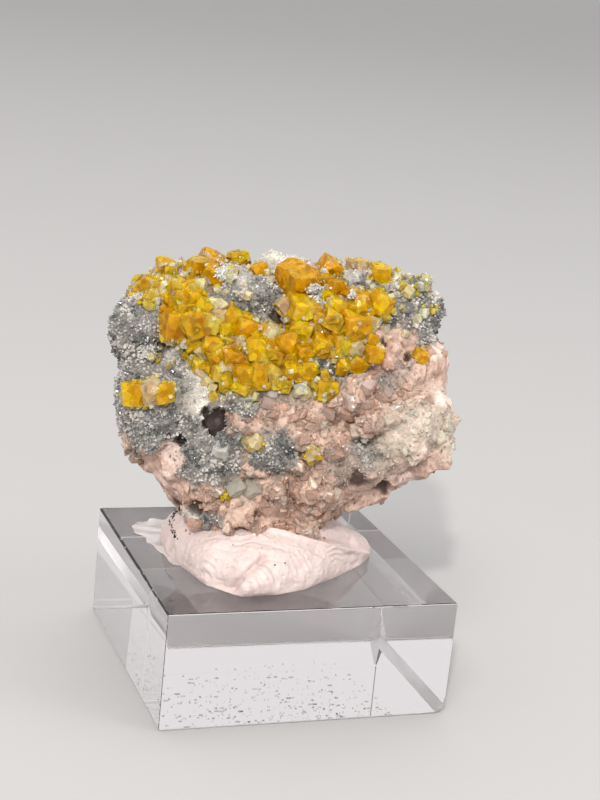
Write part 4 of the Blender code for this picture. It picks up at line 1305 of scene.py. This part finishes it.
def makeSmear():
    # a thin smear of putty on the block's top
    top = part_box("display_block")[1].z
    bm = bmesh.new()
    outline = [bm.verts.new(pixelOnTop(x, y, top + smear["lift"] * mm)) for x, y in smear["outline"]]
    edges = [bm.edges.new((a, b)) for a, b in zip(outline, outline[1:] + outline[:1])]
    bmesh.ops.subdivide_edges(bm, edges=edges, cuts=smear["cuts"])
    for _ in range(smear["smoothing"]):
        bmesh.ops.smooth_vert(bm, verts=bm.verts[:], factor=0.5, use_axis_x=True, use_axis_y=True)
    middle = sum((v.co for v in bm.verts), Vector()) / len(bm.verts)
    for vert in bm.verts:
        ragged = 1.0 + smear["ragged"] * noise.fractal(vert.co / (1.0 * mm), 1.0, 2.0, 3)
        vert.co = middle + (vert.co - middle) * ragged
    face = bmesh.ops.contextual_create(bm, geom=bm.edges[:])["faces"]
    up = bmesh.ops.extrude_face_region(bm, geom=face)
    lifted = [v for v in up["geom"] if isinstance(v, bmesh.types.BMVert)]
    bmesh.ops.translate(bm, vec=(0.0, 0.0, smear["thickness"] * mm), verts=lifted)
    bmesh.ops.recalc_face_normals(bm, faces=bm.faces[:])
    bmesh.ops.triangulate(bm, faces=bm.faces[:])
    obj = meshObject("puttySmear", bm)
    film = Finish("puttyFilm", {"Base Color": (0.95, 0.90, 0.885, 1.0), "Roughness": 0.55})
    cloud = film.pattern("Noise", 900.0, in_Detail=5.0)
    film.feed(film.ranged(cloud.outputs["Fac"], 0.15, 0.85), "Transmission Weight")
    obj.data.materials.append(film.material)
    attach(obj, "root")
    print("smear")


gritAndGapShade = {
    # line: painted shadow in the gap between the putty and the rock, made of dark specks
    "line": ((180, 504), (174, 512), (172, 521), (173, 530), (176, 539)),  # the picture's pixels
    "lineCount": 70,
    "lineWidth": (1.3, 1.0),  # pixels across and up
    "lineSize": (0.12, 0.36),  # mm
    "spots": ((275, 565, 0.30, "dark"), (285, 563, 0.24, "dark"), (370, 561, 0.42, "dark"),
              (324, 538, 0.45, "rust"), (186, 531, 0.40, "rust"), (190, 534, 0.34, "rust"),
              (233, 545, 0.16, "dark"), (262, 548, 0.15, "dark"), (216, 560, 0.15, "dark")),
    "stray": 46,
    "strayBox": ((190, 350), (528, 588)),
    "straySize": (0.05, 0.13),
    "tints": {"dark": (0.035, 0.030, 0.028), "rust": (0.42, 0.20, 0.05), "brown": (0.16, 0.10, 0.06)},
}


def makeGritAndGapShade(puttyObject):
    # specks of dirt caught in the putty, and a line of dark specks that paints the shadow in the gap between
    # the putty and the rock
    bm = bmesh.new()
    bmesh.ops.create_icosphere(bm, subdivisions=1, radius=0.5)
    for vert in bm.verts:
        vert.co *= 1.0 + 0.35 * noise.noise(vert.co * 3.0)
    shapes = [shapeArrays(bm)]
    tree = skinTree(puttyObject)
    chooser = random.Random(61)
    marks = list(gritAndGapShade["spots"])
    spreadX, spreadY = gritAndGapShade["lineWidth"]
    # painted shadow: dark specks along the gap by the rock
    for _ in range(gritAndGapShade["lineCount"]):
        share = chooser.random() * (len(gritAndGapShade["line"]) - 1)
        (x0, y0), (x1, y1) = gritAndGapShade["line"][int(share)], gritAndGapShade["line"][int(share) + 1]
        part = share - int(share)
        x = x0 + (x1 - x0) * part + chooser.gauss(0, spreadX)
        y = y0 + (y1 - y0) * part + chooser.gauss(0, spreadY)
        size = chooser.uniform(*gritAndGapShade["lineSize"])
        marks.append((x, y, size, chooser.choice(("dark", "dark", "dark", "brown"))))
    for _ in range(gritAndGapShade["stray"]):
        x, y = (chooser.uniform(*side) for side in gritAndGapShade["strayBox"])
        size = chooser.uniform(*gritAndGapShade["straySize"])
        marks.append((x, y, size, chooser.choice(("dark", "brown"))))
    placings = []
    for x, y, size, tone in marks:
        stretch = Matrix.Diagonal((size * mm, size * mm * chooser.uniform(0.5, 1.2), size * mm * 0.6, 1.0))
        matrix = Matrix.Translation(pixelHit(tree, x, y)) @ randomTurn(chooser) @ stretch
        placings.append((0, matrix, np.array(gritAndGapShade["tints"][tone])))
    setOut("puttyGritAndGapShade", shapes, placings, speckled("caughtGritAndGapShade").material)


block = {
    "edge": 0.22,  # mm
    # which way each sawn face looks and how deep it goes, mm: the far right corner, the lower right edge
    "sawn": (((1.0, 1.0, -0.30), 0.75), ((1.0, 0.0, -1.0), 0.62)),
    # the faint pink in the acrylic's colour is a painted reflection of pink surroundings
    "acrylic": {"Base Color": (0.958, 0.930, 0.940, 1.0), "Transmission Weight": 1.0, "IOR": 1.49},
    # roughness range and bump strength
    "clear": (0.0, 0.012, 0.0),
    "sawnFinish": (0.4, 0.6, 0.3),
}
flecks = {
    "count": 420,
    "length": (0.07, 0.62),  # mm
    "width": (0.05, 0.15),
    "thickness": 0.02,
    "inset": 0.05,
    "turn": 0.22,
    "tones": (0.14, 0.50),
    # where they lie: the least and the range in mm, and the shape of the spread
    "across": (0.5, 26.0, 1.6, 1.5),
    "deep": (0.6, 24.0, 1.0, 1.9),
}


def acrylicMaterial(name, roughLow, roughHigh, bumpStrength):
    finish = Finish(name, block["acrylic"])
    stretch = finish.add("Mapping", in_Scale=(0.25, 0.25, 2.2))
    finish.join(finish.coords, stretch.inputs["Vector"])
    scuffs = finish.add("TexNoise", in_Scale=700.0, in_Detail=5.0, in_Roughness=0.6)
    finish.join(stretch.outputs["Vector"], scuffs.inputs["Vector"])
    finish.feed(finish.ranged(scuffs.outputs["Fac"], roughLow, roughHigh), "Roughness")
    finish.bump(scuffs.outputs["Fac"], bumpStrength, 0.00002)
    return finish.material


def makeBlock():
    low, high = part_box("display_block")
    bm = bmesh.new()
    place = Matrix.Translation((low + high) / 2) @ Matrix.Diagonal((*(high - low), 1.0))
    bmesh.ops.create_cube(bm, size=1.0, matrix=place)
    softenEdges(bm, block["edge"] * mm, 3)
    sawnFaces = []
    for facing, depth in block["sawn"]:
        outward = Vector(facing).normalized()
        corner = Vector((high.x, high.y, low.z)) - outward * depth * mm
        sawnFaces += cutAway(bm, corner, outward)
    rimTop = low.z + 1.2 * block["edge"] * mm
    for face in bm.faces:
        lowRim = face.calc_center_median().z < rimTop and abs(face.normal.z) < 0.98
        if face in sawnFaces or lowRim:
            face.material_index = 1
    obj = meshObject("clearBlock", bm)
    obj.data.materials.append(acrylicMaterial("clearAcrylic", *block["clear"]))
    obj.data.materials.append(acrylicMaterial("sawnAcrylicEdge", *block["sawnFinish"]))
    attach(obj, "root")
    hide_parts("display_block")
    print("block")


def makeFlecks():
    # thin dark scratches on the underside
    low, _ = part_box("display_block")
    chooser = random.Random(83)
    bm = bmesh.new()
    bmesh.ops.create_cube(bm, size=1.0)
    softenEdges(bm, 0.2)
    shapes = [shapeArrays(bm)]
    placings = []
    shortest, longest = flecks["length"]
    for _ in range(flecks["count"]):
        x, y = (
            start + (least + reach * chooser.betavariate(first, second)) * mm
            for start, (least, reach, first, second) in ((low.x, flecks["across"]), (low.y, flecks["deep"]))
        )
        length = (shortest + (longest - shortest) * chooser.random() ** 4.0) * mm
        width = chooser.uniform(*flecks["width"]) * mm
        turn = Matrix.Rotation(chooser.gauss(0.0, flecks["turn"]), 4, "Z")
        size = Matrix.Diagonal((length, width, flecks["thickness"] * mm, 1.0))
        spot = Vector((x, y, low.z + flecks["inset"] * mm))
        tone = chooser.uniform(*flecks["tones"])
        placings.append((0, Matrix.Translation(spot) @ turn @ size, np.array((tone, tone, tone * 1.08))))
    setOut("undersideFlecks", shapes, placings, speckled("undersideScratch").material)


stage = {
    "floorReach": 30.0,  # m
    "floorGap": 0.00008,
    "floorTint": (0.50, 0.49, 0.485),
    "floorUneven": 0.01,
    "skyTint": (0.85, 0.845, 0.845),
    "skyStrength": 0.80,
    "aim": (0.0, 0.0, 0.03),
    # place in metres, size, watts, tint
    "lamps": {
        "softKey": ((-0.55, -0.75, 0.95), 0.40, 3.7, (1.0, 0.975, 0.94)),
        "rightFill": ((0.95, -0.70, 0.45), 0.60, 2.9, (0.95, 0.97, 1.0)),
        "topGlow": ((0.10, 0.20, 1.20), 0.60, 1.7, (1.0, 0.99, 0.98)),
        "sparkle": ((-0.28, -0.55, 0.42), 0.035, 2.6, (1.0, 0.985, 0.96)),
    },
}


def makeStage():
    bm = bmesh.new()
    bmesh.ops.create_circle(bm, cap_ends=True, segments=96, radius=stage["floorReach"])
    bmesh.ops.translate(bm, vec=(0.0, 0.0, -stage["floorGap"]), verts=bm.verts)
    floor = meshObject("studioFloor", bm)
    paper = Finish("palePaper", {"Roughness": 0.85})
    cloud = paper.pattern("Noise", 40.0, in_Detail=4.0)
    mix = paper.add("Mix", data_type="RGBA")
    for key, share in (("A", 1.0 - stage["floorUneven"]), ("B", 1.0 + stage["floorUneven"])):
        mix.inputs[key].default_value = (*[part * share for part in stage["floorTint"]], 1.0)
    paper.join(cloud.outputs["Fac"], mix.inputs["Factor"])
    paper.feed(mix.outputs["Result"], "Base Color")
    floor.data.materials.append(paper.material)
    world = bpy.data.worlds.new("studio")
    bpy.context.scene.world = world
    world.use_nodes = True
    sky = world.node_tree.nodes["Background"]
    sky.inputs["Color"].default_value = (*stage["skyTint"], 1.0)
    sky.inputs["Strength"].default_value = stage["skyStrength"]
    for name, (place, size, power, tint) in stage["lamps"].items():
        light = bpy.data.lights.new(name, "AREA")
        light.shape = "DISK"
        light.size = size
        light.energy = power
        light.color = tint
        aim = Vector(place) - Vector(stage["aim"])
        addObject(name, light).matrix_world = Matrix.Translation(place) @ pointing(aim)
    print("stage")


def makeCamera():
    data = bpy.data.cameras.new("pictureCamera")
    data.lens = camera["lens"]
    data.sensor_width = camera["sensor"]
    data.clip_start, data.clip_end = camera["clip"]
    obj = addObject("pictureCamera", data)
    turn = Matrix((cameraRight, cameraUp, cameraRight.cross(cameraUp))).transposed().to_4x4()
    obj.matrix_world = Matrix.Translation(cameraPlace) @ turn
    bpy.context.scene.camera = obj
    print("camera")


makeCamera()
makeStage()
rockObject = makeRock()
rockTree = skinTree(rockObject)
rockWeights = zoneWeights(pointsOf(rockObject.data))
gold = goldMaterial()
goldPieces = makeGold(rockTree, gold)
makeSmallGold(rockTree, gold, byZone(rockWeights)["gap"], pointTree(rockObject))
makeGoldGrains(rockTree, goldPieces, gold)
quartzFinish = speckled("frostedQuartz").material
makeQuartz(rockObject, rockWeights, quartzFinish)
makePinkCrystals(rockObject, rockTree, rockWeights, speckled("pinkTranslucentCrystal").material)
makeTufts(skinTree(rockObject, *goldPieces), quartzFinish)
makeClearCrystals(rockTree, speckled("glassyChabazite").material)
puttyObject = makePutty()
makeSmear()
makeGritAndGapShade(puttyObject)
makeBlock()
makeFlecks()

bpy.context.scene.view_settings.view_transform = "Standard"
bpy.context.scene.view_settings.look = "Medium High Contrast"
